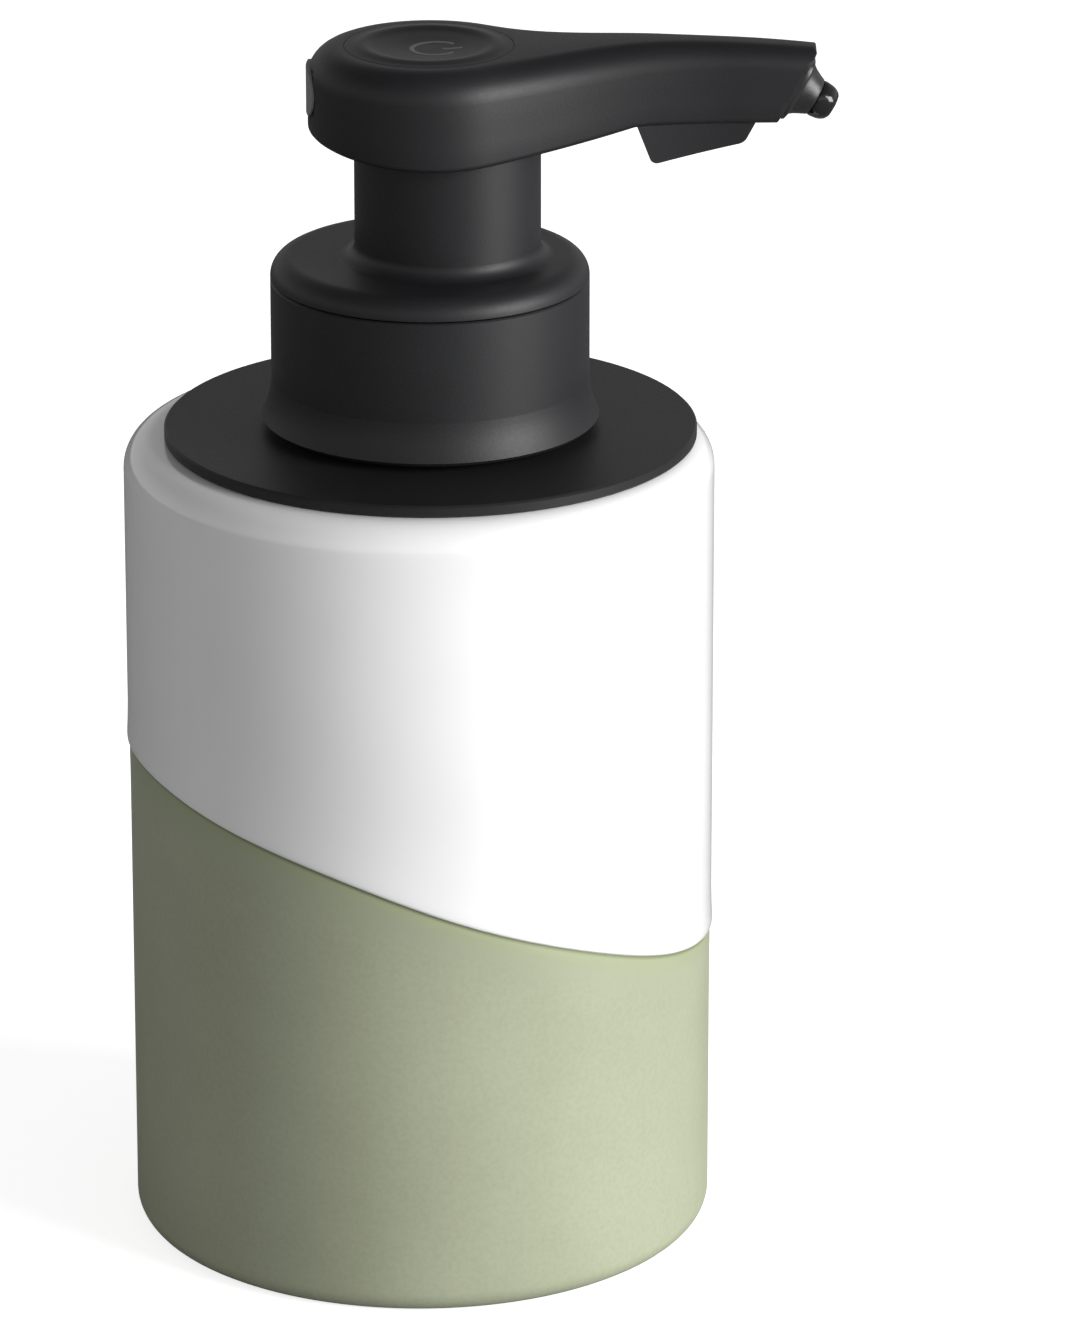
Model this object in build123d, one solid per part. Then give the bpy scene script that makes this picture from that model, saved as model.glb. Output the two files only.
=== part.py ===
from build123d import *
import math
import os

# Touch-free soap dispenser: a ceramic bottle with a battery-driven gear pump and a spout head on top.
# Millimetres. +Z is up, the origin is the centre of the bottle's foot, and the spout points along +X.
# The pump's axis stands a little off the bottle's axis. Everything but the bottle is drawn about the
# pump's axis and moved to it when it is written.

# ---- Driving dimensions ----
BOTTLE_R = 38.0
BOTTLE_H = 107.3
BOTTLE_WALL = 4.5
BOTTLE_FLOOR = 5.0
RIM_FILLET = 4.0
FOOT_FILLET = 3.0
FOOT_RECESS_R = 28.0
FOOT_RECESS_DEPTH = 0.9
PUMP_X = 1.5

MOUTH_R = 24.0
MOUTH_SEAT_R = 25.8
MOUTH_SEAT_DEPTH = 0.9
SLEEVE_WALL = 1.35
SLEEVE_LENGTH = 9.0
RUNNING_GAP = 0.05

DISC_R = 34.3
DISC_THICK = 1.55
DISC_EDGE = 0.25
SKIRT_WALL = 1.6
SKIRT_LENGTH = 8.0
NECK_ROOT_R = 16.0
NECK_BORE_R = 14.4
NECK_TOP = 122.4

THREAD_PITCH = 3.0
THREAD_DEPTH = 1.0
THREAD_BASE = 1.4
THREAD_CREST = 0.8
THREAD_TURNS = 1.5
THREAD_START = 115.6
THREAD_GAP = 0.3

COLLAR_FOOT_R = 21.7
COLLAR_R = 20.45
COLLAR_BOTTOM = 109.8
COLLAR_FLARE_TOP = 115.2
COLLAR_TOP = 128.4
COLLAR_LIP = 2.2
SEAM_GAP = 0.25

CAP_TOP = 131.4
CAP_FILLET = 2.6
COLUMN_FOOT_FILLET = 1.8
CAP_WALL = 1.5
COLUMN_R = 11.92
COLUMN_WALL = 1.5
COLUMN_X = 2.3
COLUMN_TOP = 148.3

HUB_R = 14.95
HUB_WALL = 1.5
FLANGE_R = 17.0
GASKET_THICK = 1.2
FLANGE_THICK = 2.3

PUMP_R = 14.0
GEAR_MODULE = 0.7
GEAR_TEETH = 10
GEAR_THICK = 4.9
GEAR_END_GAP = 0.1
GEAR_FLOOR = 115.9
COVER_THICK = 3.0
COVER_GASKET = 0.4
SHAFT_R = 1.0
PORT_HALF = 1.5
PORT_DEPTH = 3.6
INLET_X = -7.0
OUTLET_X = 9.6
PORT_Y = -GEAR_MODULE * GEAR_TEETH / 2

MOTOR_R = 7.7
MOTOR_LENGTH = 20.5
MOTOR_WALL = 0.5

SUCTION_R = 3.0
SUCTION_BORE = 2.0
SUCTION_FOOT = 8.0
HOSE_R = 2.0
HOSE_BORE = 1.2
HOSE_Z = 154.9

HEAD_R = 15.44
HEAD_TOP = 159.0
HEAD_WALL = 1.3
HEAD_ROOF = 1.6
HEAD_TOP_FILLET = 2.8
CROWN_START = 9.0
CROWN_X = 29.0
CROWN_TOP = 160.05
CROWN_END = 158.9
BELLY_LOW = 146.5
BELLY_X = 2.0
BELLY_R = 95.0
SPOUT_LOW = 149.7
SPOUT_ROOT_HALF = 5.0
SPOUT_TAPER = 0.03
SPOUT_BLEND = 60.0
SPOUT_TIP_X = 50.0
SPOUT_TIP_ROUND = 2.9
BROW_LOW = 157.7
END_FOOT_X = 44.1
END_SLANT = 29.5
PLATE_THICK = 1.6
PLATE_GAP = 0.05

WEDGE_INSET = 0.6
WEDGE_WALL = 1.1
WEDGE_REAR_TOP_X = 26.1
WEDGE_REAR_X = 28.3
WEDGE_REAR_Z = 144.5
WEDGE_FRONT_X = 40.0
WEDGE_FRONT_Z = 147.1
WEDGE_TIP_X = 41.7
WINDOW_LENGTH = 9.2
WINDOW_WIDTH = 4.0

BUTTON_R = 10.8
BUTTON_GAP = 0.15
BUTTON_DISH = 0.55
MARK_R = 3.0
MARK_LINE = 0.62
MARK_X = 0.8

BOARD_Z = 154.9
BOARD_THICK = 0.8
BOARD_R = 12.9
PORT_SHELL_W = 8.94
PORT_SHELL_H = 3.2
PORT_SHELL_L = 7.3
PORT_COVER_W = 11.0
PORT_COVER_H = 6.2
PORT_COVER_Z = 153.5

NOZZLE_R = 2.3
NOZZLE_BORE = 1.2
SCREW_R = 0.8
SCREW_HEAD_R = 1.35
SCREW_HEAD_H = 1.0
SCREW_PAD = 0.9
SENSOR_BOARD_UP = 4.2
RIBBON_Y = 1.4
RIBBON_WIDTH = 1.2
WIRE_R = 0.45
FLANGE_PLATE = 0.7
FLANGE_WIDTH = 6.4
FLANGE_HEIGHT = 8.4
STEM_R = 2.1
VALVE_AT = 2.3
STEM_END = 3.1
TIP_LENGTH = 2.9
MARK_FLOOR = 158.1

# ---- Heights that follow from them ----
DISC_LOW = BOTTLE_H + RUNNING_GAP
DISC_TOP = DISC_LOW + DISC_THICK
FLANGE_LOW = NECK_TOP + GASKET_THICK
FLANGE_TOP = FLANGE_LOW + FLANGE_THICK
MOTOR_LOW = FLANGE_TOP + 0.2
MOTOR_TOP = MOTOR_LOW + MOTOR_LENGTH
COVER_LOW = GEAR_FLOOR - COVER_GASKET - COVER_THICK
GEAR_ROOF = GEAR_FLOOR + GEAR_THICK + 2 * GEAR_END_GAP
HEAD_CEILING = HEAD_TOP - HEAD_ROOF
END_COS = math.cos(math.radians(END_SLANT))
END_SIN = math.sin(math.radians(END_SLANT))
END_TAN = END_SIN / END_COS


# ---- Shape helpers ----
def rod(radius, low, high, x=0.0, y=0.0):
    """An upright round bar between two heights."""
    base = (Align.CENTER, Align.CENTER, Align.MIN)
    return Pos(x, y, low) * Cylinder(radius, high - low, align=base)


def pipe(outer, inner, low, high, x=0.0, y=0.0):
    """An upright tube between two heights."""
    return rod(outer, low, high, x, y) - rod(inner, low - 1, high + 1, x, y)


def block(x_low, x_high, y_low, y_high, z_low, z_high):
    """A box given by its lowest and highest corners."""
    middle = Pos((x_low + x_high) / 2, (y_low + y_high) / 2, (z_low + z_high) / 2)
    return middle * Box(x_high - x_low, y_high - y_low, z_high - z_low)


def turned(*outline):
    """The body that a closed (radius, height) outline makes when it is turned about the vertical axis."""
    return revolve(Plane.XZ * make_face(Polyline(*outline, close=True)), Axis.Z)


def upright_plate(face, half_width):
    """A side-view face, drawn as (x, z), made half_width thick on both sides of the middle plane."""
    return extrude(Plane.XZ * face, half_width, both=True)


def polar(radius, degrees):
    """The (x, y) place at a radius and an angle."""
    return radius * math.cos(math.radians(degrees)), radius * math.sin(math.radians(degrees))


def screws(places, shank, up):
    """Identical pan-head screws. Each place is (x, y, z) under the head, and the shank runs up or down."""
    group = []
    for x, y, z in places:
        way = 1 if up else -1
        tip = z + way * shank
        back = z - way * SCREW_HEAD_H
        slot = back + way * 0.25
        screw = rod(SCREW_R, min(z, tip), max(z, tip), x, y)
        screw += rod(SCREW_HEAD_R, min(z, back), max(z, back), x, y)
        screw -= block(x - 0.9, x + 0.9, y - 0.2, y + 0.2, slot - 0.26, slot + 0.26)
        group.append(screw)
    return Compound(group)


def thread(surface_r, crest_r, low, phase):
    """A helical ridge that starts on surface_r and ends at crest_r, sunk a little into the wall behind it."""
    outward = 1 if crest_r > surface_r else -1
    root = surface_r - outward * 0.3
    helix = Helix(THREAD_PITCH, THREAD_PITCH * THREAD_TURNS, surface_r)
    section_plane = Plane(origin=helix @ 0, x_dir=(1, 0, 0), z_dir=helix % 0)
    root_x = root - surface_r
    crest_x = crest_r - surface_r
    section = make_face(
        Polyline(
            (root_x, -THREAD_BASE / 2),
            (crest_x, -THREAD_CREST / 2),
            (crest_x, THREAD_CREST / 2),
            (root_x, THREAD_BASE / 2),
            close=True,
        )
    )
    ridge = sweep(section_plane * section, path=helix, is_frenet=True)
    return Pos(0, 0, low) * Rot(0, 0, phase) * ridge


# ---- Bottle and lid ----
def make_bottle_shell():
    """The ceramic bottle: straight sided, with a shoulder turned in to a wide mouth."""
    outside = rod(BOTTLE_R, 0, BOTTLE_H)
    outside = fillet(outside.edges().group_by(Axis.Z)[-1], RIM_FILLET)
    outside = fillet(outside.edges().group_by(Axis.Z)[0], FOOT_FILLET)
    hollow = rod(BOTTLE_R - BOTTLE_WALL, BOTTLE_FLOOR, BOTTLE_H - BOTTLE_WALL)
    hollow = fillet(hollow.edges().filter_by(GeomType.CIRCLE), 3.5)
    mouth = rod(MOUTH_R, BOTTLE_H - BOTTLE_WALL - 1, BOTTLE_H + 1, PUMP_X)
    seat = rod(MOUTH_SEAT_R, BOTTLE_H - MOUTH_SEAT_DEPTH, BOTTLE_H + 1, PUMP_X)
    recess = rod(FOOT_RECESS_R, -1, FOOT_RECESS_DEPTH)
    recess = fillet(recess.edges().group_by(Axis.Z)[-1], 0.6)
    return outside - hollow - mouth - seat - recess


def make_mouth_sleeve():
    """A silicone sleeve that lines the mouth. Its lip lies in the mouth's seat, and its outside is ribbed."""
    outer = MOUTH_R - RUNNING_GAP
    low = BOTTLE_H - SLEEVE_LENGTH
    sleeve = rod(outer, low, BOTTLE_H - 0.1)
    sleeve += rod(MOUTH_SEAT_R - 0.15, BOTTLE_H - MOUTH_SEAT_DEPTH + 0.05, BOTTLE_H - 0.05)
    for rib in range(3):
        groove_low = low + 1.2 + rib * 2.2
        sleeve -= pipe(outer + 1, outer - 0.5, groove_low, groove_low + 1.2)
    return sleeve - rod(outer - SLEEVE_WALL, low - 1, BOTTLE_H + 1)


def make_mouth_disc():
    """The lid: a flat plate over the mouth, a skirt down into the sleeve and a threaded neck above."""
    skirt_r = MOUTH_R - RUNNING_GAP - SLEEVE_WALL - 0.1
    lid = rod(DISC_R, DISC_LOW, DISC_TOP)
    lid = chamfer(lid.edges().filter_by(GeomType.CIRCLE), DISC_EDGE)
    lid += pipe(skirt_r, skirt_r - SKIRT_WALL, DISC_LOW - SKIRT_LENGTH, DISC_LOW + 0.5)
    lid += rod(NECK_ROOT_R, DISC_TOP - 0.5, NECK_TOP)
    lid += thread(NECK_ROOT_R, NECK_ROOT_R + THREAD_DEPTH, THREAD_START, 0)
    return lid - rod(NECK_BORE_R, DISC_LOW - 1, NECK_TOP + 1)


def make_collar_ring():
    """The ring that screws down over the neck and clamps the pump's flange with its inward lip."""
    bore = NECK_ROOT_R + THREAD_DEPTH + THREAD_GAP
    lip_r = HUB_R + 0.25
    lip_low = COLLAR_TOP - COLLAR_LIP
    flare_foot = (COLLAR_FOOT_R, COLLAR_BOTTOM + 0.5)
    flare_top = (COLLAR_R, COLLAR_FLARE_TOP)
    flare_middle = (COLLAR_R + 0.28 * (COLLAR_FOOT_R - COLLAR_R), (flare_foot[1] + flare_top[1]) / 2)
    flare = ThreePointArc(flare_foot, flare_middle, flare_top)
    rest = Polyline(
        flare_top,
        (COLLAR_R, COLLAR_TOP - 0.2),
        (COLLAR_R - 0.2, COLLAR_TOP),
        (lip_r, COLLAR_TOP),
        (lip_r, lip_low),
        (bore, lip_low),
        (bore, COLLAR_BOTTOM + 0.5),
        (bore + 0.5, COLLAR_BOTTOM),
        (COLLAR_FOOT_R - 0.5, COLLAR_BOTTOM),
        flare_foot,
    )
    ring = revolve(Plane.XZ * make_face(flare.edges() + rest.edges()), Axis.Z)
    return ring + thread(bore, bore - THREAD_DEPTH, THREAD_START, 180)


# ---- Column and chassis ----
def make_column_housing():
    """The cap above the collar and the column that carries the head, moulded as one hollow piece."""
    low = COLLAR_TOP + SEAM_GAP
    cap = rod(COLLAR_R, low, CAP_TOP)
    cap = fillet(cap.edges().group_by(Axis.Z)[-1], CAP_FILLET)
    housing = cap + rod(COLUMN_R, CAP_TOP - 1, COLUMN_TOP, COLUMN_X)
    foot = [e for e in housing.edges().filter_by(GeomType.CIRCLE) if abs(e.radius - COLUMN_R) < 0.01]
    foot = [e for e in foot if abs(e.arc_center.Z - CAP_TOP) < 0.01]
    housing = fillet(foot, COLUMN_FOOT_FILLET)
    housing -= rod(COLLAR_R - CAP_WALL - 1.2, low - 1, CAP_TOP - CAP_WALL)
    housing -= rod(COLUMN_R - COLUMN_WALL, low, COLUMN_TOP + 1, COLUMN_X)
    return housing + pipe(HUB_R + 1.5, HUB_R, low, CAP_TOP - CAP_WALL + 0.1)


def make_chassis():
    """The flange that stands on the neck and carries the pump below, the motor above and the column round it."""
    chassis = rod(FLANGE_R, FLANGE_LOW, FLANGE_TOP) + rod(HUB_R, FLANGE_TOP - 0.5, CAP_TOP - CAP_WALL)
    chassis -= rod(HUB_R - HUB_WALL, FLANGE_TOP, CAP_TOP)
    chassis += rod(MOTOR_R + 0.6, FLANGE_TOP - 0.1, MOTOR_LOW)
    chassis -= rod(3.1, FLANGE_LOW - 1, MOTOR_LOW + 1)
    chassis -= rod(HOSE_R + 0.3, FLANGE_LOW - 1, MOTOR_LOW + 1, OUTLET_X, PORT_Y)
    for x, y in chassis_screw_places():
        chassis -= rod(SCREW_R, FLANGE_LOW - 1, FLANGE_TOP + 1, x, y)
    for x, y in motor_screw_places():
        chassis -= rod(SCREW_R, FLANGE_LOW - 1, MOTOR_LOW + 1, x, y)
        chassis -= rod(SCREW_HEAD_R + 0.1, FLANGE_LOW - 1, FLANGE_LOW + SCREW_HEAD_H, x, y)
    return chassis


def make_neck_gasket():
    """The flat ring that seals the chassis flange on the neck."""
    return pipe(FLANGE_R - 0.1, NECK_BORE_R + 0.1, NECK_TOP, FLANGE_LOW)


def chassis_screw_places():
    """Three screws that hold the pump body under the chassis."""
    return [polar(11.2, angle) for angle in (45, 135, 225)]


def motor_screw_places():
    """Two screws that hold the motor on the chassis."""
    return [(5.0, 0.0), (-5.0, 0.0)]


def cover_screw_places():
    """Four screws that hold the pump cover, clear of the two ports."""
    return [polar(11.8, angle) for angle in (30, 150, 240, 300)]


# ---- Gear pump ----
def gear_chamber(low, high, gap):
    """The two round pockets that the gears turn in."""
    radius = GEAR_MODULE * (GEAR_TEETH / 2 + 1) + gap
    return rod(radius, low, high) + rod(radius, low, high, 0, 2 * PORT_Y)


def make_pump_body():
    """The pump's body: the gear pockets and both ports open downwards, and the outlet spigot stands on top."""
    body = rod(PUMP_R, GEAR_FLOOR, FLANGE_LOW)
    body += rod(HOSE_BORE, FLANGE_LOW - 0.1, FLANGE_LOW + 6.0, OUTLET_X, PORT_Y)
    body -= gear_chamber(GEAR_FLOOR - 1, GEAR_ROOF, 0.1)
    port_roof = GEAR_FLOOR + PORT_DEPTH
    body -= block(INLET_X - 1.5, -2, PORT_Y - PORT_HALF, PORT_Y + PORT_HALF, GEAR_FLOOR - 1, port_roof)
    body -= block(2, OUTLET_X + 1.2, PORT_Y - PORT_HALF, PORT_Y + PORT_HALF, GEAR_FLOOR - 1, port_roof)
    body -= rod(0.7, port_roof - 1, FLANGE_LOW + 7.0, OUTLET_X, PORT_Y)
    body -= rod(SHAFT_R + 0.06, GEAR_ROOF - 1, FLANGE_LOW + 1)
    body -= rod(3.0, FLANGE_LOW - 1.4, FLANGE_LOW + 1)
    body -= rod(SHAFT_R, GEAR_ROOF - 1, GEAR_ROOF + 1.2, 0, 2 * PORT_Y)
    for x, y in cover_screw_places():
        body -= rod(SCREW_R, GEAR_FLOOR - 1, GEAR_FLOOR + 4.0, x, y)
    for x, y in chassis_screw_places():
        body -= rod(SCREW_R, FLANGE_LOW - 4.5, FLANGE_LOW + 1, x, y)
    for x, y in motor_screw_places():
        body -= rod(SCREW_HEAD_R + 0.1, FLANGE_LOW - 0.3, FLANGE_LOW + 1, x, y)
    return body


def make_cover_gasket():
    """The thin sheet between the pump's body and cover, cut out round the gears and the ports."""
    low = GEAR_FLOOR - COVER_GASKET
    gasket = rod(PUMP_R - 0.3, low, GEAR_FLOOR) - gear_chamber(low - 1, GEAR_FLOOR + 1, 0.2)
    gasket -= block(INLET_X - 1.7, OUTLET_X + 1.4, PORT_Y - 1.7, PORT_Y + 1.7, low - 1, GEAR_FLOOR + 1)
    for x, y in cover_screw_places():
        gasket -= rod(SCREW_R + 0.1, low - 1, GEAR_FLOOR + 1, x, y)
    return gasket


def make_pump_cover():
    """The cover under the gears, with the inlet spigot that the suction tube is pushed over."""
    top = GEAR_FLOOR - COVER_GASKET
    cover = rod(PUMP_R, COVER_LOW, top) + gear_chamber(top - 0.1, GEAR_FLOOR, 0.0)
    cover += rod(SUCTION_BORE, COVER_LOW - 7.0, COVER_LOW + 0.1, INLET_X, PORT_Y)
    cover -= rod(1.2, COVER_LOW - 8.0, GEAR_FLOOR + 1, INLET_X, PORT_Y)
    cover -= rod(SHAFT_R + 0.06, COVER_LOW + 1.0, GEAR_FLOOR + 1)
    cover -= rod(SHAFT_R, COVER_LOW + 1.0, GEAR_FLOOR + 1, 0, 2 * PORT_Y)
    for x, y in cover_screw_places():
        cover -= rod(SCREW_R, COVER_LOW - 1, GEAR_FLOOR, x, y)
    return cover


def make_gear(bore_r, x, y, first_tooth):
    """A ten-tooth spur gear with slim teeth, which leave the pair a little backlash."""
    pitch_r = GEAR_MODULE * GEAR_TEETH / 2
    root_r = pitch_r - 1.25 * GEAR_MODULE
    tip_r = pitch_r + 0.95 * GEAR_MODULE
    outline = Sketch() + Circle(root_r)
    for tooth in range(GEAR_TEETH):
        flank = make_face(
            Polyline(
                (root_r - 0.5, -0.62 * GEAR_MODULE),
                (pitch_r, -0.62 * GEAR_MODULE),
                (tip_r, -0.24 * GEAR_MODULE),
                (tip_r, 0.24 * GEAR_MODULE),
                (pitch_r, 0.62 * GEAR_MODULE),
                (root_r - 0.5, 0.62 * GEAR_MODULE),
                close=True,
            )
        )
        outline += Rot(0, 0, first_tooth + tooth * 360 / GEAR_TEETH) * flank
    outline -= Circle(bore_r)
    return Pos(x, y, GEAR_FLOOR + GEAR_END_GAP) * extrude(outline, GEAR_THICK)


def make_idler_pin():
    """The fixed pin that the idler gear turns on."""
    return rod(SHAFT_R, COVER_LOW + 1.0, GEAR_ROOF + 1.2, 0, 2 * PORT_Y)


def make_shaft_seal():
    """The lip seal that keeps soap away from the motor."""
    return pipe(3.0, SHAFT_R + 0.05, FLANGE_LOW - 1.4, FLANGE_LOW)


# ---- Motor ----
def make_motor_can():
    """The motor's steel can, with the bearing boss that centres it in the chassis."""
    can = rod(MOTOR_R, MOTOR_LOW, MOTOR_TOP) + rod(3.0, MOTOR_LOW - 1.2, MOTOR_LOW + 0.1)
    can = can - rod(MOTOR_R - MOTOR_WALL, MOTOR_LOW + 1.2, MOTOR_TOP + 1)
    for x, y in motor_screw_places():
        can -= rod(SCREW_R, MOTOR_LOW - 1, MOTOR_LOW + 2, x, y)
    return can - rod(SHAFT_R + 0.06, MOTOR_LOW - 2, MOTOR_LOW + 2)


def make_motor_magnets():
    """Two curved magnets on the inside of the can."""
    outer = MOTOR_R - MOTOR_WALL
    ring = pipe(outer, outer - 1.3, MOTOR_LOW + 2.5, MOTOR_TOP - 4.5)
    gap = block(-1.5, 1.5, -outer - 1, outer + 1, MOTOR_LOW, MOTOR_TOP)
    return ring - gap


def make_motor_end_cap():
    """The plastic end cap that closes the can and holds the brushes."""
    cap = rod(MOTOR_R - MOTOR_WALL, MOTOR_TOP - 1.6, MOTOR_TOP) + rod(2.4, MOTOR_TOP - 0.1, MOTOR_TOP + 0.9)
    cap -= rod(SHAFT_R + 0.06, MOTOR_TOP - 2, MOTOR_TOP + 0.3)
    for y in (-4.5, 4.5):
        cap -= block(-1.2, 1.2, y - 0.3, y + 0.3, MOTOR_TOP - 2, MOTOR_TOP + 1)
    return cap


def make_motor_terminals():
    """Two brass tabs that stand out of the end cap."""
    tabs = [block(-1.2, 1.2, y - 0.3, y + 0.3, MOTOR_TOP - 1.6, MOTOR_TOP + 1.1) for y in (-4.5, 4.5)]
    return Compound(tabs)


def make_motor_armature():
    """The wound three-pole armature on the shaft."""
    low = MOTOR_LOW + 4.0
    high = MOTOR_TOP - 5.5
    armature = rod(2.0, low, high + 2.5)
    for pole in range(3):
        web = Rot(0, 0, 120 * pole) * block(1.5, 4.6, -0.8, 0.8, low, high)
        armature += web
        shoe = pipe(5.5, 4.4, low, high) & (Rot(0, 0, 120 * pole) * block(2.5, 6.0, -3.6, 3.6, low, high))
        armature += shoe
    return armature - rod(SHAFT_R, low - 1, high + 4)


def make_motor_shaft():
    """The steel shaft, from the pump cover's bearing up to the end cap's."""
    return rod(SHAFT_R, COVER_LOW + 1.2, MOTOR_TOP + 0.2)


# ---- Soap path ----
def make_suction_tube():
    """The clear tube from the pump's inlet down to the bottom of the bottle."""
    return pipe(SUCTION_R, SUCTION_BORE, SUCTION_FOOT + 4.0, COVER_LOW - 0.1, INLET_X, PORT_Y)


def make_inlet_strainer():
    """The slotted foot on the suction tube that keeps lumps out."""
    foot = rod(4.2, SUCTION_FOOT, SUCTION_FOOT + 4.0, INLET_X, PORT_Y)
    foot += rod(SUCTION_BORE, SUCTION_FOOT + 3.9, SUCTION_FOOT + 8.0, INLET_X, PORT_Y)
    foot -= rod(1.3, SUCTION_FOOT + 0.8, SUCTION_FOOT + 9.0, INLET_X, PORT_Y)
    for turn in range(4):
        slot = Pos(INLET_X, PORT_Y, SUCTION_FOOT + 1.6) * Rot(0, 0, 45 * turn) * Box(9.0, 0.8, 1.6)
        foot -= slot
    return foot


def hose_route():
    """The outlet hose's route: up beside the motor, over into the spout and across to the nozzle."""
    start = (OUTLET_X, PORT_Y, FLANGE_LOW + 0.3)
    over = (OUTLET_X, PORT_Y, HOSE_Z)
    swing = (20.0, PORT_Y, HOSE_Z)
    line_up = (33.0, 0.0, HOSE_Z)
    end = (nozzle_elbow()[0] - 1.9, 0.0, HOSE_Z)
    return FilletPolyline(start, over, swing, line_up, end, radius=[7.0, 15.0, 15.0])


def make_outlet_hose():
    """The silicone hose that carries soap from the pump to the nozzle."""
    route = hose_route()
    start = Plane(origin=route @ 0, z_dir=route % 0)
    outside = sweep(start * Circle(HOSE_R), path=route)
    inside = sweep(start * Circle(HOSE_BORE), path=route)
    print("hose bend radii 7, 15 and 15 mm, length", round(route.length, 1))
    return outside - inside


# ---- Head ----
def head_plan(inset):
    """The head seen from above: a round end about the pump's axis that blends into a tapering spout."""
    root_half = SPOUT_ROOT_HALF - inset
    tip_x = SPOUT_TIP_X - inset
    tip_half = root_half - SPOUT_TAPER * SPOUT_TIP_X
    spout = make_face(
        Polyline((0, -root_half), (tip_x, -tip_half), (tip_x, tip_half), (0, root_half), close=True)
    )
    spout = fillet(spout.vertices().group_by(Axis.X)[-1], SPOUT_TIP_ROUND - inset)
    plan = Circle(HEAD_R - inset) + spout
    waist = [v for v in plan.vertices() if 2 < v.X < 16]
    return fillet(waist, SPOUT_BLEND + inset)


def end_x(z, back):
    """Where the spout's slanted end stands at a height, drawn back square to itself."""
    return END_FOOT_X + (z - SPOUT_LOW) * END_TAN - back / END_COS


def head_side(end_back, *roof):
    """The head seen from the side: bowed belly and flat spout floor, closed over the given roof points."""
    centre_z = BELLY_LOW + BELLY_R
    join_x = BELLY_X + math.sqrt(BELLY_R**2 - (centre_z - SPOUT_LOW) ** 2)
    rear_x = -HEAD_R - 2
    rear_z = centre_z - math.sqrt(BELLY_R**2 - (rear_x - BELLY_X) ** 2)
    belly = ThreePointArc((rear_x, rear_z), (BELLY_X, BELLY_LOW), (join_x, SPOUT_LOW))
    rest = Polyline(belly @ 1, (end_x(SPOUT_LOW, end_back), SPOUT_LOW), *roof, (rear_x, roof[-1][1]), belly @ 0)
    return make_face(belly.edges() + rest.edges())


def head_roof():
    """A slab seen from the side: level over the button, then gently crowned along the spout."""
    level = Line((-20, HEAD_TOP), (CROWN_START, HEAD_TOP))
    far = SPOUT_TIP_X + 2
    crown_points = [(CROWN_START, HEAD_TOP), (CROWN_X, CROWN_TOP), (far, CROWN_END)]
    crown = Spline(*crown_points, tangents=[(1, 0), (1, -0.1)])
    rest = Polyline((far, CROWN_END), (far, 130), (-20, 130), (-20, HEAD_TOP))
    return make_face(level.edges() + crown.edges() + rest.edges())


def is_roof_rim(edge):
    """True for an edge round the head's top, but not for the line where its crown begins."""
    start = edge @ 0
    end = edge @ 1
    across_head = abs(start.X - CROWN_START) < 0.01 and abs(end.X - CROWN_START) < 0.01
    return min(start.Z, end.Z) > HEAD_TOP - 0.2 and not across_head


def head_block():
    """The head's outside as a solid block, with soft upper edges."""
    prism = extrude(Pos(0, 0, 140) * head_plan(0), CROWN_TOP + 1 - 140)
    solid = prism & upright_plate(head_roof(), 20)
    solid = fillet(solid.edges().filter_by(is_roof_rim), HEAD_TOP_FILLET)
    over = CROWN_TOP + 5
    brow_end = SPOUT_TIP_X + 2
    side = head_side(0, (end_x(BROW_LOW, 0), BROW_LOW), (brow_end, BROW_LOW), (brow_end, over))
    return solid & upright_plate(side, 20)


def head_hollow():
    """The room inside the head shell, open below."""
    prism = extrude(Pos(0, 0, 140) * head_plan(HEAD_WALL), HEAD_CEILING - 140)
    roof = (end_x(HEAD_CEILING, HEAD_WALL), HEAD_CEILING)
    side = make_face(Polyline((-20, 140), (end_x(140, HEAD_WALL), 140), roof, (-20, HEAD_CEILING), close=True))
    return prism & upright_plate(side, 20)


def port_outline(width, height):
    """The port's oval outline, standing on the rear of the head and drawn through it."""
    oval = Plane.YZ * SlotOverall(width, height)
    return Pos(-HEAD_R - 3, 0, PORT_COVER_Z) * extrude(oval, 7.0)


def nozzle_plane(out):
    """The plane across the nozzle's axis, out millimetres from the slanted end of the spout."""
    middle_z = (SPOUT_LOW + BROW_LOW) / 2
    middle_x = END_FOOT_X + (middle_z - SPOUT_LOW) * END_TAN
    origin = (middle_x + out * END_COS, 0, middle_z - out * END_SIN)
    return Plane(origin=origin, x_dir=(0, 1, 0), z_dir=(END_COS, 0, -END_SIN))


def nozzle_elbow():
    """Where the nozzle's axis crosses the hose's height."""
    middle = nozzle_plane(0).origin
    return (middle.X - (HOSE_Z - middle.Z) / END_TAN, 0, HOSE_Z)


def across(plane, radius, length):
    """A round bar that starts on a plane and runs along its normal."""
    return extrude(plane * Circle(radius), length)


def make_head_shell():
    """The head's outer shell, open below, with openings for the button, the port and the nozzle."""
    shell = head_block() - head_hollow()
    shell -= rod(BUTTON_R + BUTTON_GAP, HEAD_CEILING - 1, HEAD_TOP + 1)
    shell -= port_outline(PORT_COVER_W, PORT_COVER_H)
    shell -= across(nozzle_plane(-3), STEM_R + 0.1, 4)
    for x, y in head_screw_places():
        low = plate_top(x) + SCREW_PAD + 0.1
        high = HEAD_CEILING + 0.1 if x > 0 else BOARD_Z - 0.3
        boss = rod(1.7, low, high, x, y) & head_block()
        shell += boss - rod(SCREW_R, low - 1, low + 4.0, x, y)
    return shell


def head_screw_places():
    """Three screws that hold the head shell down on its base."""
    return [(-10.0, 7.55), (-10.0, -7.55), (16.5, 5.6)]


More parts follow.
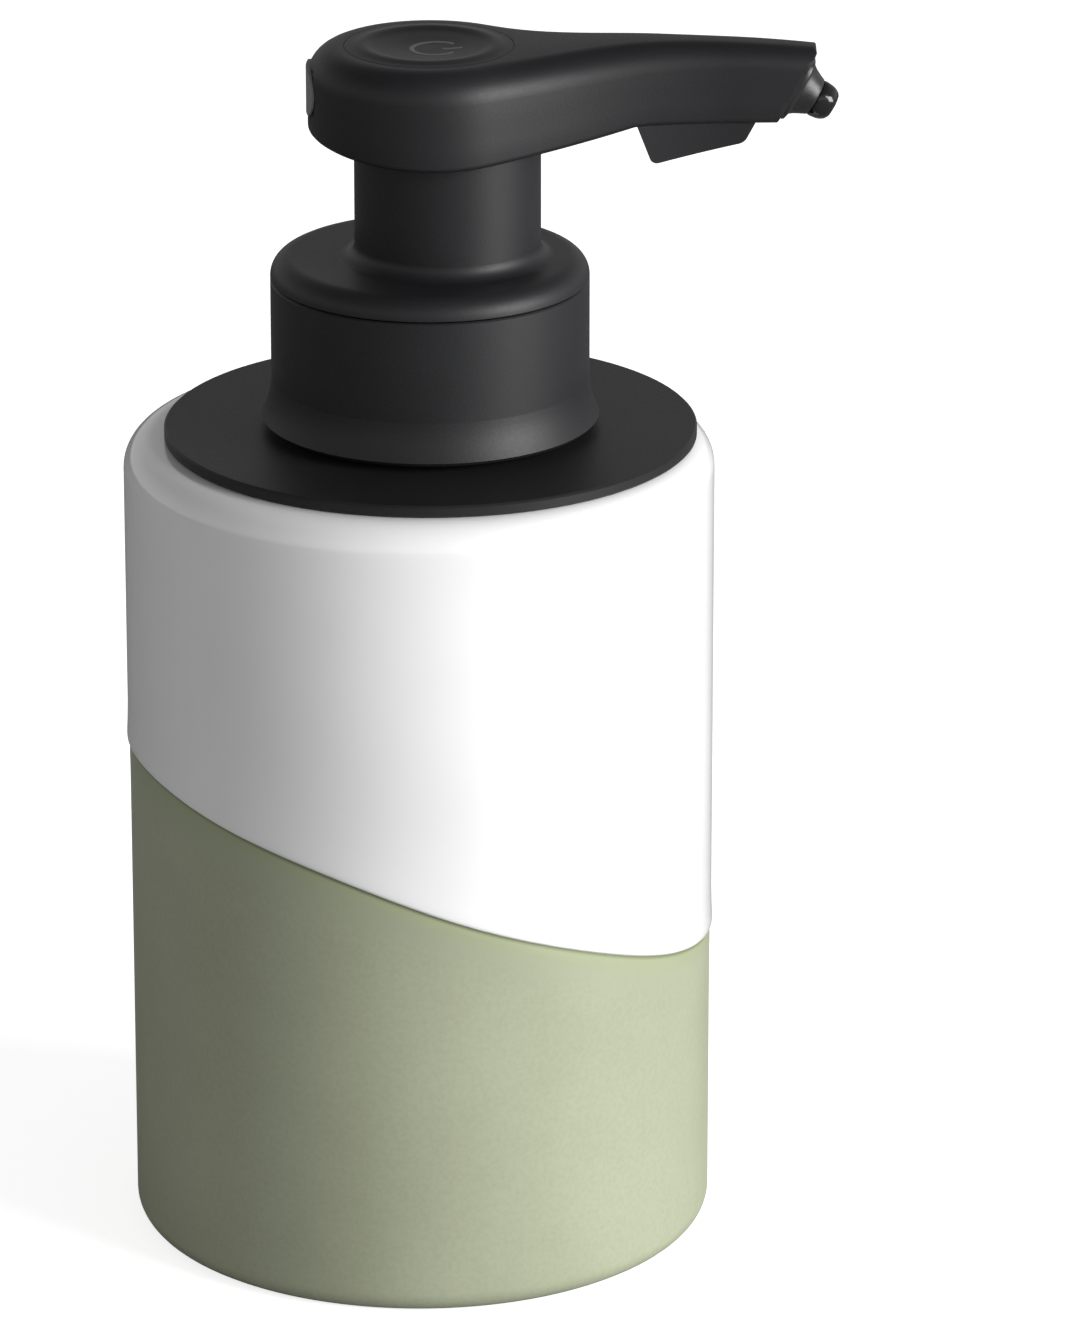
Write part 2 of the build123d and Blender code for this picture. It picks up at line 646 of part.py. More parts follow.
def plate_top(x):
    """The height of the base plate's upper face at x, inside the bowed belly."""
    return BELLY_LOW + BELLY_R - math.sqrt((BELLY_R - PLATE_THICK) ** 2 - (x - BELLY_X) ** 2)


def wedge_side(inset):
    """The sensor wedge seen from the side, drawn inset all round but open upwards."""
    outline = make_face(
        Polyline(
            (WEDGE_REAR_TOP_X, SPOUT_LOW + 0.6),
            (WEDGE_REAR_X, WEDGE_REAR_Z),
            (WEDGE_FRONT_X, WEDGE_FRONT_Z),
            (WEDGE_TIP_X, SPOUT_LOW + 0.6),
            close=True,
        )
    )
    corners = outline.vertices().sort_by(Axis.Y)
    outline = fillet(corners[0], 1.0)
    front = outline.vertices().sort_by_distance((WEDGE_FRONT_X, WEDGE_FRONT_Z))[0]
    outline = fillet(front, 1.6)
    if inset:
        outline = offset(outline, amount=-inset)
    return outline


def make_head_base():
    """The head's underside: a plate inside the shell's rim with the hollow sensor wedge below the spout."""
    back = HEAD_WALL + PLATE_GAP
    floor = head_side(back, (end_x(SPOUT_LOW + 3, back), SPOUT_LOW + 3))
    band = floor - Pos(0, PLATE_THICK, 0) * floor
    prism = extrude(Pos(0, 0, 140) * head_plan(HEAD_WALL + PLATE_GAP), 15)
    base = prism & upright_plate(band, 20)
    wedge = extrude(Pos(0, 0, 140) * head_plan(WEDGE_INSET), 15) & upright_plate(wedge_side(0), 20)
    base += wedge - head_block() - block(20, 45, -20, 20, SPOUT_LOW, SPOUT_LOW + 5)
    base += wedge & prism
    hollow_prism = extrude(Pos(0, 0, 140) * head_plan(WEDGE_INSET + WEDGE_WALL), 20)
    hollow = upright_plate(wedge_side(WEDGE_WALL), 20)
    hollow += block(WEDGE_REAR_X + 1.2, WEDGE_FRONT_X - 0.8, -5.6, 5.6, SPOUT_LOW - 1.5, SPOUT_LOW + 3)
    base -= hollow_prism & hollow
    base -= rod(COLUMN_R + 0.05, 140, 155, COLUMN_X)
    base -= across(nozzle_plane(-4), STEM_R + 0.2, 5)
    base -= extrude(sensor_plane(-1) * RectangleRounded(WINDOW_LENGTH, WINDOW_WIDTH, 1.2), 3)
    for x, y in head_screw_places():
        seat = plate_top(x) - PLATE_THICK + SCREW_HEAD_H + 0.2
        base += rod(1.7, plate_top(x) - 0.4, plate_top(x) + SCREW_PAD, x, y) & prism
        base -= rod(SCREW_R + 0.05, 140, 160, x, y)
        base -= rod(SCREW_HEAD_R + 0.1, 140, seat, x, y)
    return base


def sensor_plane(up):
    """The plane of the wedge's sloping underside, up millimetres towards its inside. Local x runs up the slope."""
    rise = WEDGE_FRONT_Z - WEDGE_REAR_Z
    run = WEDGE_FRONT_X - WEDGE_REAR_X
    length = math.hypot(rise, run)
    normal = (-rise / length, 0, run / length)
    middle = ((WEDGE_FRONT_X + WEDGE_REAR_X) / 2, 0, (WEDGE_FRONT_Z + WEDGE_REAR_Z) / 2)
    origin = (middle[0] + up * normal[0], 0, middle[2] + up * normal[2])
    return Plane(origin=origin, x_dir=(run / length, 0, rise / length), z_dir=normal)


# ---- Sensor ----
def make_ir_window():
    """The smoked window that the sensor looks through, flush with the wedge."""
    face = RectangleRounded(WINDOW_LENGTH - 0.1, WINDOW_WIDTH - 0.1, 1.1)
    return extrude(sensor_plane(0.05) * face, WEDGE_WALL - 0.1)


def make_ir_lamp(along):
    """One infrared lamp or eye on the sensor board, with a domed end that faces the window."""
    seat = sensor_plane(SENSOR_BOARD_UP) * Pos(along, 0, 0)
    lamp = extrude(seat * Circle(1.5), -(SENSOR_BOARD_UP - 2.3))
    dome = sensor_plane(2.6) * Pos(along, 0, 0) * Sphere(1.4)
    return lamp + dome


def make_sensor_board():
    """The small board in the wedge, parallel to the window."""
    return extrude(sensor_plane(SENSOR_BOARD_UP) * Pos(0.5, 0, 0) * Rectangle(8.2, 4.2), 0.8)


def make_sensor_ribbon():
    """The flat cable from the main board down to the sensor board."""
    landing = sensor_plane(SENSOR_BOARD_UP + 0.9)
    over = landing.from_local_coords((-1.6, 0, 0.3))
    end = landing.from_local_coords((1.4, 0, 0))
    route = FilletPolyline(
        (9.2, RIBBON_Y, BOARD_Z - 0.1),
        (26.0, RIBBON_Y, BOARD_Z - 0.1),
        (over.X, RIBBON_Y, over.Z),
        (end.X, RIBBON_Y, end.Z),
        radius=[2.0, 2.0],
    )
    strip = Plane(origin=route @ 0, x_dir=(0, 1, 0), z_dir=route % 0) * Rectangle(RIBBON_WIDTH, 0.16)
    return sweep(strip, path=route)


# ---- Electronics ----
def make_main_board():
    """The round circuit board under the button, cut straight on the spout side."""
    board = rod(BOARD_R, BOARD_Z, BOARD_Z + BOARD_THICK)
    return board & block(-20, 10.0, -20, 20, 150, 160)


def make_board_chips():
    """The controller, the charger and a few small parts on the board's upper face."""
    top = BOARD_Z + BOARD_THICK
    sizes = [(-8.0, 4.6, 4.0, 4.0), (-8.0, -4.6, 3.0, 3.0), (6.6, 6.4, 2.6, 2.0), (6.6, -6.4, 2.6, 2.0)]
    chips = [block(x - w / 2, x + w / 2, y - d / 2, y + d / 2, top, top + 0.5) for x, y, w, d in sizes]
    return Compound(chips)


def make_status_led():
    """The small light beside the switch that shines through the power mark."""
    top = BOARD_Z + BOARD_THICK
    return block(5.2, 6.8, -0.4, 0.4, top, top + 0.5)


def make_tact_switch():
    """The switch under the middle of the button."""
    top = BOARD_Z + BOARD_THICK
    return block(-2.2, 2.2, -2.2, 2.2, top, top + 0.6) + rod(1.2, top + 0.5, top + 0.75)


def make_battery():
    """The flat lithium cell across the head, over the column's mouth."""
    cell = block(-5.5, 7.0, -11.0, 11.0, 148.9, 154.2)
    return fillet(cell.edges().filter_by(Axis.Y), 1.5)


def wire(points, bends):
    """A round wire that follows a few points with rounded bends."""
    route = FilletPolyline(*points, radius=bends)
    return sweep(Plane(origin=route @ 0, z_dir=route % 0) * Circle(WIRE_R), path=route)


def make_motor_leads():
    """Two wires from the motor's terminals, round the battery to the board."""
    leads = []
    for side in (1, -1):
        points = [
            (1.2, side * 4.5, 147.2),
            (4.6, side * 4.7, 147.4),
            (8.4, side * 7.0, 148.6),
            (8.6, side * 7.4, BOARD_Z),
        ]
        leads.append(wire(points, [1.6, 1.6]))
    return Compound(leads)


def make_battery_leads():
    """Two short wires from the battery's edge to the board."""
    leads = []
    for y in (-0.6, 0.9):
        leads.append(wire([(7.0, y, 152.6), (8.6, y, 152.6), (8.6, y, BOARD_Z)], [0.9]))
    return Compound(leads)


def port_face(width, height, x_low, x_high):
    """An oval bar along x, through the middle of the charging port."""
    oval = Plane.YZ * SlotOverall(width, height)
    return Pos(x_low, 0, BOARD_Z - PORT_SHELL_H / 2) * extrude(oval, x_high - x_low)


def make_usb_port():
    """The charging receptacle under the board, its mouth just inside the head's rear wall."""
    mouth = -13.2
    back = mouth + PORT_SHELL_L
    shell = port_face(PORT_SHELL_W, PORT_SHELL_H, mouth, back)
    shell -= port_face(PORT_SHELL_W - 0.6, PORT_SHELL_H - 0.64, mouth - 1, back - 0.7)
    z = BOARD_Z - PORT_SHELL_H / 2
    return shell + block(mouth + 0.8, back - 0.6, -3.35, 3.35, z - 0.35, z + 0.35)


def make_port_cover():
    """The soft plug over the charging port: an oval face that follows the round end, and a rim that plugs in."""
    face = pipe(HEAD_R + 0.2, HEAD_R - 1.2, 145, 160)
    face &= port_outline(PORT_COVER_W - 0.3, PORT_COVER_H - 0.3)
    rim = port_face(8.1, 2.3, -HEAD_R + 0.4, -11.8) - port_face(7.1, 1.2, -13.8, -11.0)
    return face + rim


# ---- Button ----
def make_power_button():
    """The round button: a shallow dish inside a soft raised ring, with a flange that keeps it in the head."""
    top = HEAD_TOP + 0.15
    rim_r = BUTTON_R - 1.3
    body = rod(BUTTON_R, HEAD_CEILING - 0.4, top)
    body = fillet(body.edges().group_by(Axis.Z)[-1], 0.5)
    dish_r = (rim_r**2 + BUTTON_DISH**2) / (2 * BUTTON_DISH)
    body -= Pos(0, 0, top + dish_r - BUTTON_DISH) * Sphere(dish_r)
    body += rod(BUTTON_R + 0.6, HEAD_CEILING - 0.45, HEAD_CEILING - 0.05)
    body += rod(1.6, HEAD_CEILING - 0.4, HEAD_CEILING)
    return body - power_outline(MARK_LINE + 0.02)


def power_outline(line):
    """A plain power symbol sunk into the dish: an open ring and a bar that points along the spout."""
    ring = Circle(MARK_R + line / 2) - Circle(MARK_R - line / 2)
    ring -= make_face(Polyline((0, 0), (6, 4.6), (6, -4.6), close=True))
    bar = Pos(MARK_R * 0.72, 0) * Rectangle(MARK_R * 0.9, line)
    return Pos(MARK_X, 0, MARK_FLOOR) * extrude(ring + bar, 3.0)


def make_power_mark():
    """The inlaid power symbol, level with the dish."""
    top = HEAD_TOP + 0.15
    rim_r = BUTTON_R - 1.3
    dish_r = (rim_r**2 + BUTTON_DISH**2) / (2 * BUTTON_DISH)
    mark = power_outline(MARK_LINE) - Pos(0, 0, top + dish_r - BUTTON_DISH) * Sphere(dish_r)
    return mark & rod(BUTTON_R, 150, HEAD_TOP)


# ---- Nozzle ----
def make_nozzle_body():
    """The nozzle: a hose spigot inside the spout, a flange on its slanted end and a flared stem outside."""
    body = extrude(nozzle_plane(0) * RectangleRounded(FLANGE_WIDTH, FLANGE_HEIGHT, 3.1), FLANGE_PLATE)
    stem_r = NOZZLE_R - 0.05
    stem = turned(
        (0, -1.6),
        (STEM_R, -1.6),
        (STEM_R, FLANGE_PLATE - 0.4),
        (STEM_R + 1.0, FLANGE_PLATE - 0.4),
        (STEM_R + 1.0, FLANGE_PLATE),
        (STEM_R + 0.6, FLANGE_PLATE + 0.4),
        (STEM_R + 0.35, FLANGE_PLATE + 1.0),
        (stem_r, 2.4),
        (stem_r, STEM_END),
        (0, STEM_END),
    )
    body += nozzle_plane(0).location * stem
    elbow = nozzle_elbow()
    body += Pos(*elbow) * Sphere(2.0)
    body += across(nozzle_plane(-2.0), 2.0, 1.0)
    barb = Plane(origin=(elbow[0] - 6.5, 0, HOSE_Z), z_dir=(1, 0, 0))
    body += across(barb, HOSE_BORE, 6.5)
    body -= across(barb.offset(-1), 0.7, 7.5)
    body -= across(Plane(origin=elbow, z_dir=nozzle_plane(0).z_dir), 0.9, 8)
    return body - across(nozzle_plane(VALVE_AT), 1.6, 4)


def make_outlet_valve():
    """The duckbill valve that stops drips, held between the stem and the tip."""
    valve = across(nozzle_plane(VALVE_AT), 1.55, STEM_END - VALVE_AT)
    valve += across(nozzle_plane(STEM_END - 0.1), 1.0, 0.8)
    slit = extrude(nozzle_plane(VALVE_AT + 0.4) * Rectangle(1.4, 0.12), 3)
    return valve - across(nozzle_plane(VALVE_AT - 1), 0.8, 1.5) - slit


def make_nozzle_tip():
    """The short round tip that soap leaves by, with a rounded mouth."""
    end = STEM_END + TIP_LENGTH
    tip = turned(
        (1.4, STEM_END),
        (NOZZLE_R, STEM_END),
        (NOZZLE_R, end - 0.9),
        (NOZZLE_R - 0.35, end - 0.3),
        (NOZZLE_R - 0.8, end),
        (NOZZLE_BORE, end),
        (NOZZLE_BORE, STEM_END + 0.9),
        (1.4, STEM_END + 0.9),
    )
    return nozzle_plane(0).location * tip


# ---- Screws ----
def make_pump_cover_screws():
    """Four screws up through the pump's cover."""
    return screws([(x, y, COVER_LOW) for x, y in cover_screw_places()], 6.5, True)


def make_chassis_screws():
    """Three screws down through the chassis into the pump's body."""
    return screws([(x, y, FLANGE_TOP) for x, y in chassis_screw_places()], 6.0, False)


def make_motor_screws():
    """Two screws up through the chassis into the motor."""
    return screws([(x, y, FLANGE_LOW + SCREW_HEAD_H) for x, y in motor_screw_places()], 2.4, True)


def make_head_screws():
    """Three screws up through the base plate into the head shell."""
    seats = [(x, y, plate_top(x) - PLATE_THICK + SCREW_HEAD_H + 0.2) for x, y in head_screw_places()]
    return screws(seats, 4.6, True)


# ---- The whole dispenser ----
def make_parts():
    """Every piece by name, at its place about the pump's axis."""
    return {
        "mouth_sleeve": make_mouth_sleeve(),
        "mouth_disc": make_mouth_disc(),
        "collar_ring": make_collar_ring(),
        "column_housing": make_column_housing(),
        "chassis": make_chassis(),
        "neck_gasket": make_neck_gasket(),
        "pump_body": make_pump_body(),
        "cover_gasket": make_cover_gasket(),
        "pump_cover": make_pump_cover(),
        "drive_gear": make_gear(SHAFT_R, 0, 0, 90),
        "idler_gear": make_gear(SHAFT_R + 0.05, 0, 2 * PORT_Y, 90 + 180 / GEAR_TEETH),
        "idler_pin": make_idler_pin(),
        "shaft_seal": make_shaft_seal(),
        "motor_can": make_motor_can(),
        "motor_magnets": make_motor_magnets(),
        "motor_armature": make_motor_armature(),
        "motor_shaft": make_motor_shaft(),
        "motor_end_cap": make_motor_end_cap(),
        "motor_terminals": make_motor_terminals(),
        "suction_tube": make_suction_tube(),
        "inlet_strainer": make_inlet_strainer(),
        "outlet_hose": make_outlet_hose(),
        "head_shell": make_head_shell(),
        "head_base": make_head_base(),
        "ir_window": make_ir_window(),
        "ir_emitter": make_ir_lamp(-2.6),
        "ir_receiver": make_ir_lamp(2.6),
        "sensor_board": make_sensor_board(),
        "sensor_ribbon": make_sensor_ribbon(),
        "main_board": make_main_board(),
        "board_chips": make_board_chips(),
        "status_led": make_status_led(),
        "tact_switch": make_tact_switch(),
        "battery": make_battery(),
        "motor_leads": make_motor_leads(),
        "battery_leads": make_battery_leads(),
        "usb_port": make_usb_port(),
        "port_cover": make_port_cover(),
        "power_button": make_power_button(),
        "power_mark": make_power_mark(),
        "nozzle_body": make_nozzle_body(),
        "outlet_valve": make_outlet_valve(),
        "nozzle_tip": make_nozzle_tip(),
        "pump_cover_screws": make_pump_cover_screws(),
        "chassis_screws": make_chassis_screws(),
        "motor_screws": make_motor_screws(),
        "head_screws": make_head_screws(),
    }


def main():
    """Builds every piece and writes each to its own STEP file."""
    os.makedirs("parts", exist_ok=True)
    export_step(make_bottle_shell(), "parts/bottle_shell.step")
    for name, piece in make_parts().items():
        export_step(Pos(PUMP_X, 0, 0) * piece, f"parts/{name}.step")


main()
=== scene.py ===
import math

import bmesh
import bpy
from mathutils import Matrix, Vector


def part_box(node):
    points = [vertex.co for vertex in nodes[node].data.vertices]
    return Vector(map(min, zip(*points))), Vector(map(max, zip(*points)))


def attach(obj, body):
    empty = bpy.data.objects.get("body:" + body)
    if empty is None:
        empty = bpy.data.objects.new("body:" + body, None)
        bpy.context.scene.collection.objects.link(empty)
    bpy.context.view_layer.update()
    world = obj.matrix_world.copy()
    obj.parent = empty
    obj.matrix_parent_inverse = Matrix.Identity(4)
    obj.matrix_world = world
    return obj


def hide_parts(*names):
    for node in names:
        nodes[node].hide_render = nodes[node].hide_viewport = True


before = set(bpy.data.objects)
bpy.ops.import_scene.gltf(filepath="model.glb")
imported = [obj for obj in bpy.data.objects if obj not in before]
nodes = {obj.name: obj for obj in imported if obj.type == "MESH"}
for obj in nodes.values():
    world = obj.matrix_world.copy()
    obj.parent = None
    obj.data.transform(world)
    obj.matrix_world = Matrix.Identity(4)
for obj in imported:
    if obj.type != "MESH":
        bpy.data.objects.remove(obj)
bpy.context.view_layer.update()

# Lengths are metres. MM turns millimetres into them. Places come from the frame's boxes.
MM = 0.001


# ---- What the frame gives ----
_, bottle_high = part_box("bottle_shell")
collar_low, collar_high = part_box("collar_ring")
head_low, head_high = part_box("head_shell")
BOTTLE_R = bottle_high.x
BOTTLE_H = bottle_high.z
PUMP_X = (collar_low.x + collar_high.x) / 2
HEAD_R = PUMP_X - head_low.x
BUTTON_PROUD = 0.15 * MM
HEAD_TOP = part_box("power_button")[1].z - BUTTON_PROUD
SPOUT_TIP = head_high.x - PUMP_X

# ---- The photograph's view ----
VIEW_AZIMUTH = 0.0
VIEW_ELEVATION = 19.8
VIEW_DISTANCE = 1.063
AIM_RIGHT = 15.0 * MM
AIM_HEIGHT = 75.9 * MM
LENS = 222.0

# ---- Bottle ----
WHITE, GREEN, CLAY = 0, 1, 2
AXIS_HOLE = 0.3 * MM
WALL = 4.5 * MM
INNER_FILLET = 3.5 * MM
GREEN_INSET = 0.12 * MM
WHITE_PROUD = 0.10 * MM
FLOOR_THICK = 5.0 * MM
RIM_FILLET = 4.0 * MM
FOOT_FILLET = 3.0 * MM
RECESS_R = 28.0 * MM
RECESS_DEPTH = 0.9 * MM
RECESS_FILLET = 0.6 * MM
RECESS_EASE = 0.25 * MM
FOOT_RING_R = 31.5 * MM
MOUTH_R = 24.0 * MM
SEAT_R = 25.8 * MM
SEAT_DEPTH = 0.9 * MM
SEAT_EASE = 0.3 * MM
MOUTH_EASE = 0.5 * MM
GLAZE_MIDDLE = 53.2 * MM
GLAZE_TILT = 13.6 * MM
GLAZE_LOW_SIDE = math.radians(12.1 + VIEW_AZIMUTH)
# The depth under the glaze line over which the green glaze's painted shadow line and pooled tone
# are spread.
SHADOW_AND_POOL_DEPTH = 9 * MM
BOTTLE_STEPS = 288

# ---- Head ----
# The blank runs RUN_OUT past the tip: SPOUT_TIP_ROUND shapes only what the cut takes away.
SPOUT_ROOT_HALF = 5.0 * MM
SPOUT_TAPER = 0.03
SPOUT_BLEND = 60.0 * MM
SPOUT_TIP_ROUND = 2.9 * MM
RUN_OUT = 4.0 * MM
END_STEPS, CORNER_STEPS, SIDE_STEPS, BLEND_STEPS, ROUND_STEPS = 4, 12, 16, 18, 44
FOOT_STEPS, TOP_STEPS = 5, 10
NOSE_CHAMFER = 0.45 * MM
BELLY_LOW = 146.5 * MM
BELLY_X = 2.0 * MM
BELLY_R = 95.0 * MM
SPOUT_LOW = 149.7 * MM
BROW_LOW = 157.7 * MM
END_FOOT_X = 44.1 * MM
CROWN_START = 9.0 * MM
CROWN_X = 29.0 * MM
CROWN_RISE = 1.03 * MM
END_SLANT = math.radians(29.5)
HEAD_WALL = 1.3 * MM
HEAD_ROOF = 1.6 * MM
HEAD_SHARP = 42
END_EDGE = 0.5 * MM
CUT_EDGE = 0.16 * MM
BORE_R = 2.2 * MM
BUTTON_R = 10.8 * MM
BUTTON_HOLE_R = 10.84 * MM
TOP_SOFT_ROUND = 3.9 * MM
TOP_SOFT_SPOUT = 2.8 * MM
TOP_SOFT_FROM_X = 16 * MM
TOP_SOFT_TO_X = 44 * MM
FOOT_SOFT = 0.7 * MM
BELLY_INSETS = (3.6 * MM, 2.2 * MM)
PORT_GAP = 0.15 * MM
PORT_HALF_HEIGHT = 3.1 * MM

# ---- Nozzle, in millimetres from its own axis ----
FLANGE_ACROSS = 3.42
FLANGE_UP = 4.35
FLANGE_SQUARE = 3.4
NOZZLE_STEPS = 96
TIP_STEPS = 72

# ---- Button's dish, in millimetres ----
DISH_EDGE_RISE = 0.02
DISH_DEPTH = 0.5
DISH_FLAT_R = 1.8
DISH_R = 8.4
DISH_RING_RISE = 0.30
DISH_RING_R = 8.5
DISH_RING_WIDTH = 1.1
DISH_STEPS = 40

# ---- Power mark ----
MARK_X = 0.8 * MM
MARK_R = 3.0 * MM
MARK_LINE = 0.62 * MM
MARK_GAP = 40.0
MARK_BAR = (0.9, 3.5)
RING_STEPS, BAR_STEPS = 56, 10
MARK_SECTION = ((-1, -0.2), (-1, 0.02), (-0.6, 0.045), (0.6, 0.045), (1, 0.02), (1, -0.2))

# ---- Light ----
KEY_TURN = 62.0
KEY_DISTANCE = 1.3
KEY_HEIGHT = 0.40
KEY_SIZE = (0.8, 0.84)
KEY_POWER = 26.5
KEY_AIM_HEIGHT = 0.09
SURROUND_STRENGTH = 0.7
FLOOR_HALF = 6.0


# ---- Mesh helpers ----
def add_mesh(name, points, faces, sharp_degrees=32, face_slots=None):
    """A smooth-shaded mesh object whose edges above an angle stay sharp."""
    mesh = bpy.data.meshes.new(name)
    mesh.from_pydata([tuple(p) for p in points], [], faces)
    if face_slots:
        mesh.polygons.foreach_set("material_index", face_slots)
    mesh.polygons.foreach_set("use_smooth", [True] * len(mesh.polygons))
    mesh.set_sharp_from_angle(angle=math.radians(sharp_degrees))
    mesh.validate()
    obj = bpy.data.objects.new(name, mesh)
    bpy.context.scene.collection.objects.link(obj)
    return obj


def ring_faces(rows, count):
    """The faces between each ring of points and the next."""
    faces = []
    for row in range(rows - 1):
        a, b = row * count, (row + 1) * count
        for i in range(count):
            j = (i + 1) % count
            faces.append((a + i, a + j, b + j, b + i))
    return faces


def skin(name, rings, sharp_degrees=32, row_slots=None, caps=True):
    """Closes a run of equal rings into one surface, with a flat cap at each end."""
    count = len(rings[0])
    points = [p for ring in rings for p in ring]
    faces = ring_faces(len(rings), count)
    slots = [slot for slot in row_slots or [0] * (len(rings) - 1) for _ in range(count)]
    if caps:
        last = (len(rings) - 1) * count
        faces.append(tuple(reversed(range(count))))
        faces.append(tuple(range(last, last + count)))
        slots += [slots[0], slots[-1]]
    return add_mesh(name, points, faces, sharp_degrees, slots)


def circle(radius, z, x, steps):
    """A level ring of points."""
    turns = [2 * math.pi * i / steps for i in range(steps)]
    return [Vector((x + radius * math.cos(t), radius * math.sin(t), z)) for t in turns]


def lathe(name, profile, x, steps, sharp_degrees=32):
    """A turned form from (radius, height) points, about an upright axis."""
    return skin(name, [circle(r, z, x, steps) for r, z in profile], sharp_degrees)


def arc(cx, cz, radius, start, stop, steps):
    """Points on an arc in the profile plane, angles in degrees from +x."""
    turns = [math.radians(start + (stop - start) * i / steps) for i in range(steps + 1)]
    return [(cx + radius * math.cos(t), cz + radius * math.sin(t)) for t in turns]


def directions(start, stop, steps):
    """Level unit vectors that turn from one angle to another, in radians."""
    turns = [start + (stop - start) * i / steps for i in range(steps + 1)]
    return [Vector((math.cos(a), math.sin(a))) for a in turns]


def smoothstep(low, high, value):
    """0 below low, 1 above high, and a smooth turn between."""
    t = min(1.0, max(0.0, (value - low) / (high - low)))
    return t * t * (3 - 2 * t)


def cut(target, cutter):
    """Takes the cutter out of the target and removes the cutter."""
    change = target.modifiers.new("cut", "BOOLEAN")
    change.operation = "DIFFERENCE"
    change.solver = "EXACT"
    change.object = cutter
    settle(target)
    bpy.data.objects.remove(cutter)


def settle(target):
    """Applies the target's modifiers to its mesh."""
    bpy.context.view_layer.update()
    shaped = target.evaluated_get(bpy.context.evaluated_depsgraph_get())
    mesh = bpy.data.meshes.new_from_object(shaped)
    target.modifiers.clear()
    target.data = mesh


def soften(target, width, degrees, segments=2):
    """Rounds the target's hard edges a little and shades it smooth."""
    bevel = target.modifiers.new("bevel", "BEVEL")
    bevel.width = width
    bevel.segments = segments
    bevel.limit_method = "ANGLE"
    bevel.angle_limit = math.radians(degrees)
    bevel.use_clamp_overlap = True
    settle(target)
    shade(target, degrees)


def shade(target, degrees):
    """Shades the target smooth, with every edge sharper than the angle left crisp."""
    target.data.polygons.foreach_set("use_smooth", [True] * len(target.data.polygons))
    target.data.set_sharp_from_angle(angle=math.radians(degrees))


# ---- Materials ----
def new_material(name):
    """A material with its shader, and the object's own coordinates to hang textures on."""
    material = bpy.data.materials.new(name)
    material.use_nodes = True
    tree = material.node_tree
    shader = tree.nodes["Principled BSDF"]
    coords = tree.nodes.new("ShaderNodeTexCoord")
    return material, tree, shader, coords


def noise(tree, coords, scale, detail, stretch=None):
    """A noise texture's value at a scale per metre, stretched along an axis if asked."""
    texture = tree.nodes.new("ShaderNodeTexNoise")
    texture.inputs["Scale"].default_value = scale
    texture.inputs["Detail"].default_value = detail
    source = coords.outputs["Object"]
    if stretch:
        mapping = tree.nodes.new("ShaderNodeMapping")
        mapping.inputs["Scale"].default_value = stretch
        tree.links.new(source, mapping.inputs["Vector"])
        source = mapping.outputs["Vector"]
    tree.links.new(source, texture.inputs["Vector"])
    return texture.outputs["Fac"]


def ramp(tree, source, low, high, start=0.35, stop=0.65):
    """Turns a value into a colour between two."""
    node = tree.nodes.new("ShaderNodeValToRGB")
    node.color_ramp.elements[0].position = start
    node.color_ramp.elements[1].position = stop
    node.color_ramp.elements[0].color = (*low, 1)
    node.color_ramp.elements[1].color = (*high, 1)
    tree.links.new(source, node.inputs["Fac"])
    return node.outputs["Color"]


def tint(tree, shader, source, low, high):
    """Lets a texture vary the base colour between two colours."""
    tree.links.new(ramp(tree, source, low, high), shader.inputs["Base Color"])


def bump(tree, shader, sources, distance, strength=1.0):
    """Adds up height textures and feeds them to the shader's normal."""
    total = sources[0]
    for extra in sources[1:]:
        add = tree.nodes.new("ShaderNodeMath")
        add.operation = "ADD"
        tree.links.new(total, add.inputs[0])
        tree.links.new(extra, add.inputs[1])
        total = add.outputs[0]
    node = tree.nodes.new("ShaderNodeBump")
    node.inputs["Distance"].default_value = distance
    node.inputs["Strength"].default_value = strength
    tree.links.new(total, node.inputs["Height"])
    tree.links.new(node.outputs["Normal"], shader.inputs["Normal"])


def roughness(tree, shader, source, low, high):
    """Lets a texture vary the roughness between two values."""
    span = tree.nodes.new("ShaderNodeMapRange")
    span.inputs["To Min"].default_value = low
    span.inputs["To Max"].default_value = high
    tree.links.new(source, span.inputs["Value"])
    tree.links.new(span.outputs["Result"], shader.inputs["Roughness"])


def moulded(name, low, high, rough, grain=2600.0, depth=0.012 * MM, specular=0.5):
    """Moulded plastic or rubber: a fine grain, slight cloudiness and uneven roughness."""
    material, tree, shader, coords = new_material(name)
    cloud = noise(tree, coords, scale=90.0, detail=4.0)
    fine = noise(tree, coords, scale=grain, detail=2.0)
    tint(tree, shader, cloud, low, high)
    roughness(tree, shader, fine, low=rough - 0.05, high=rough + 0.05)
    bump(tree, shader, [fine], depth)
    shader.inputs["Specular IOR Level"].default_value = specular
    return material


def white_glaze():
    """Thick glossy white glaze with the faint waviness of a dipped coat."""
    material, tree, shader, coords = new_material("white_glaze")
    wave = noise(tree, coords, scale=38.0, detail=2.0)
    pit = noise(tree, coords, scale=900.0, detail=2.0)
    tint(tree, shader, wave, (0.83, 0.83, 0.835), (0.87, 0.87, 0.87))
    roughness(tree, shader, pit, low=0.10, high=0.17)
    bump(tree, shader, [wave], distance=0.25 * MM, strength=0.25)
    shader.inputs["Coat Weight"].default_value = 0.35
    shader.inputs["Coat Roughness"].default_value = 0.06
    return material


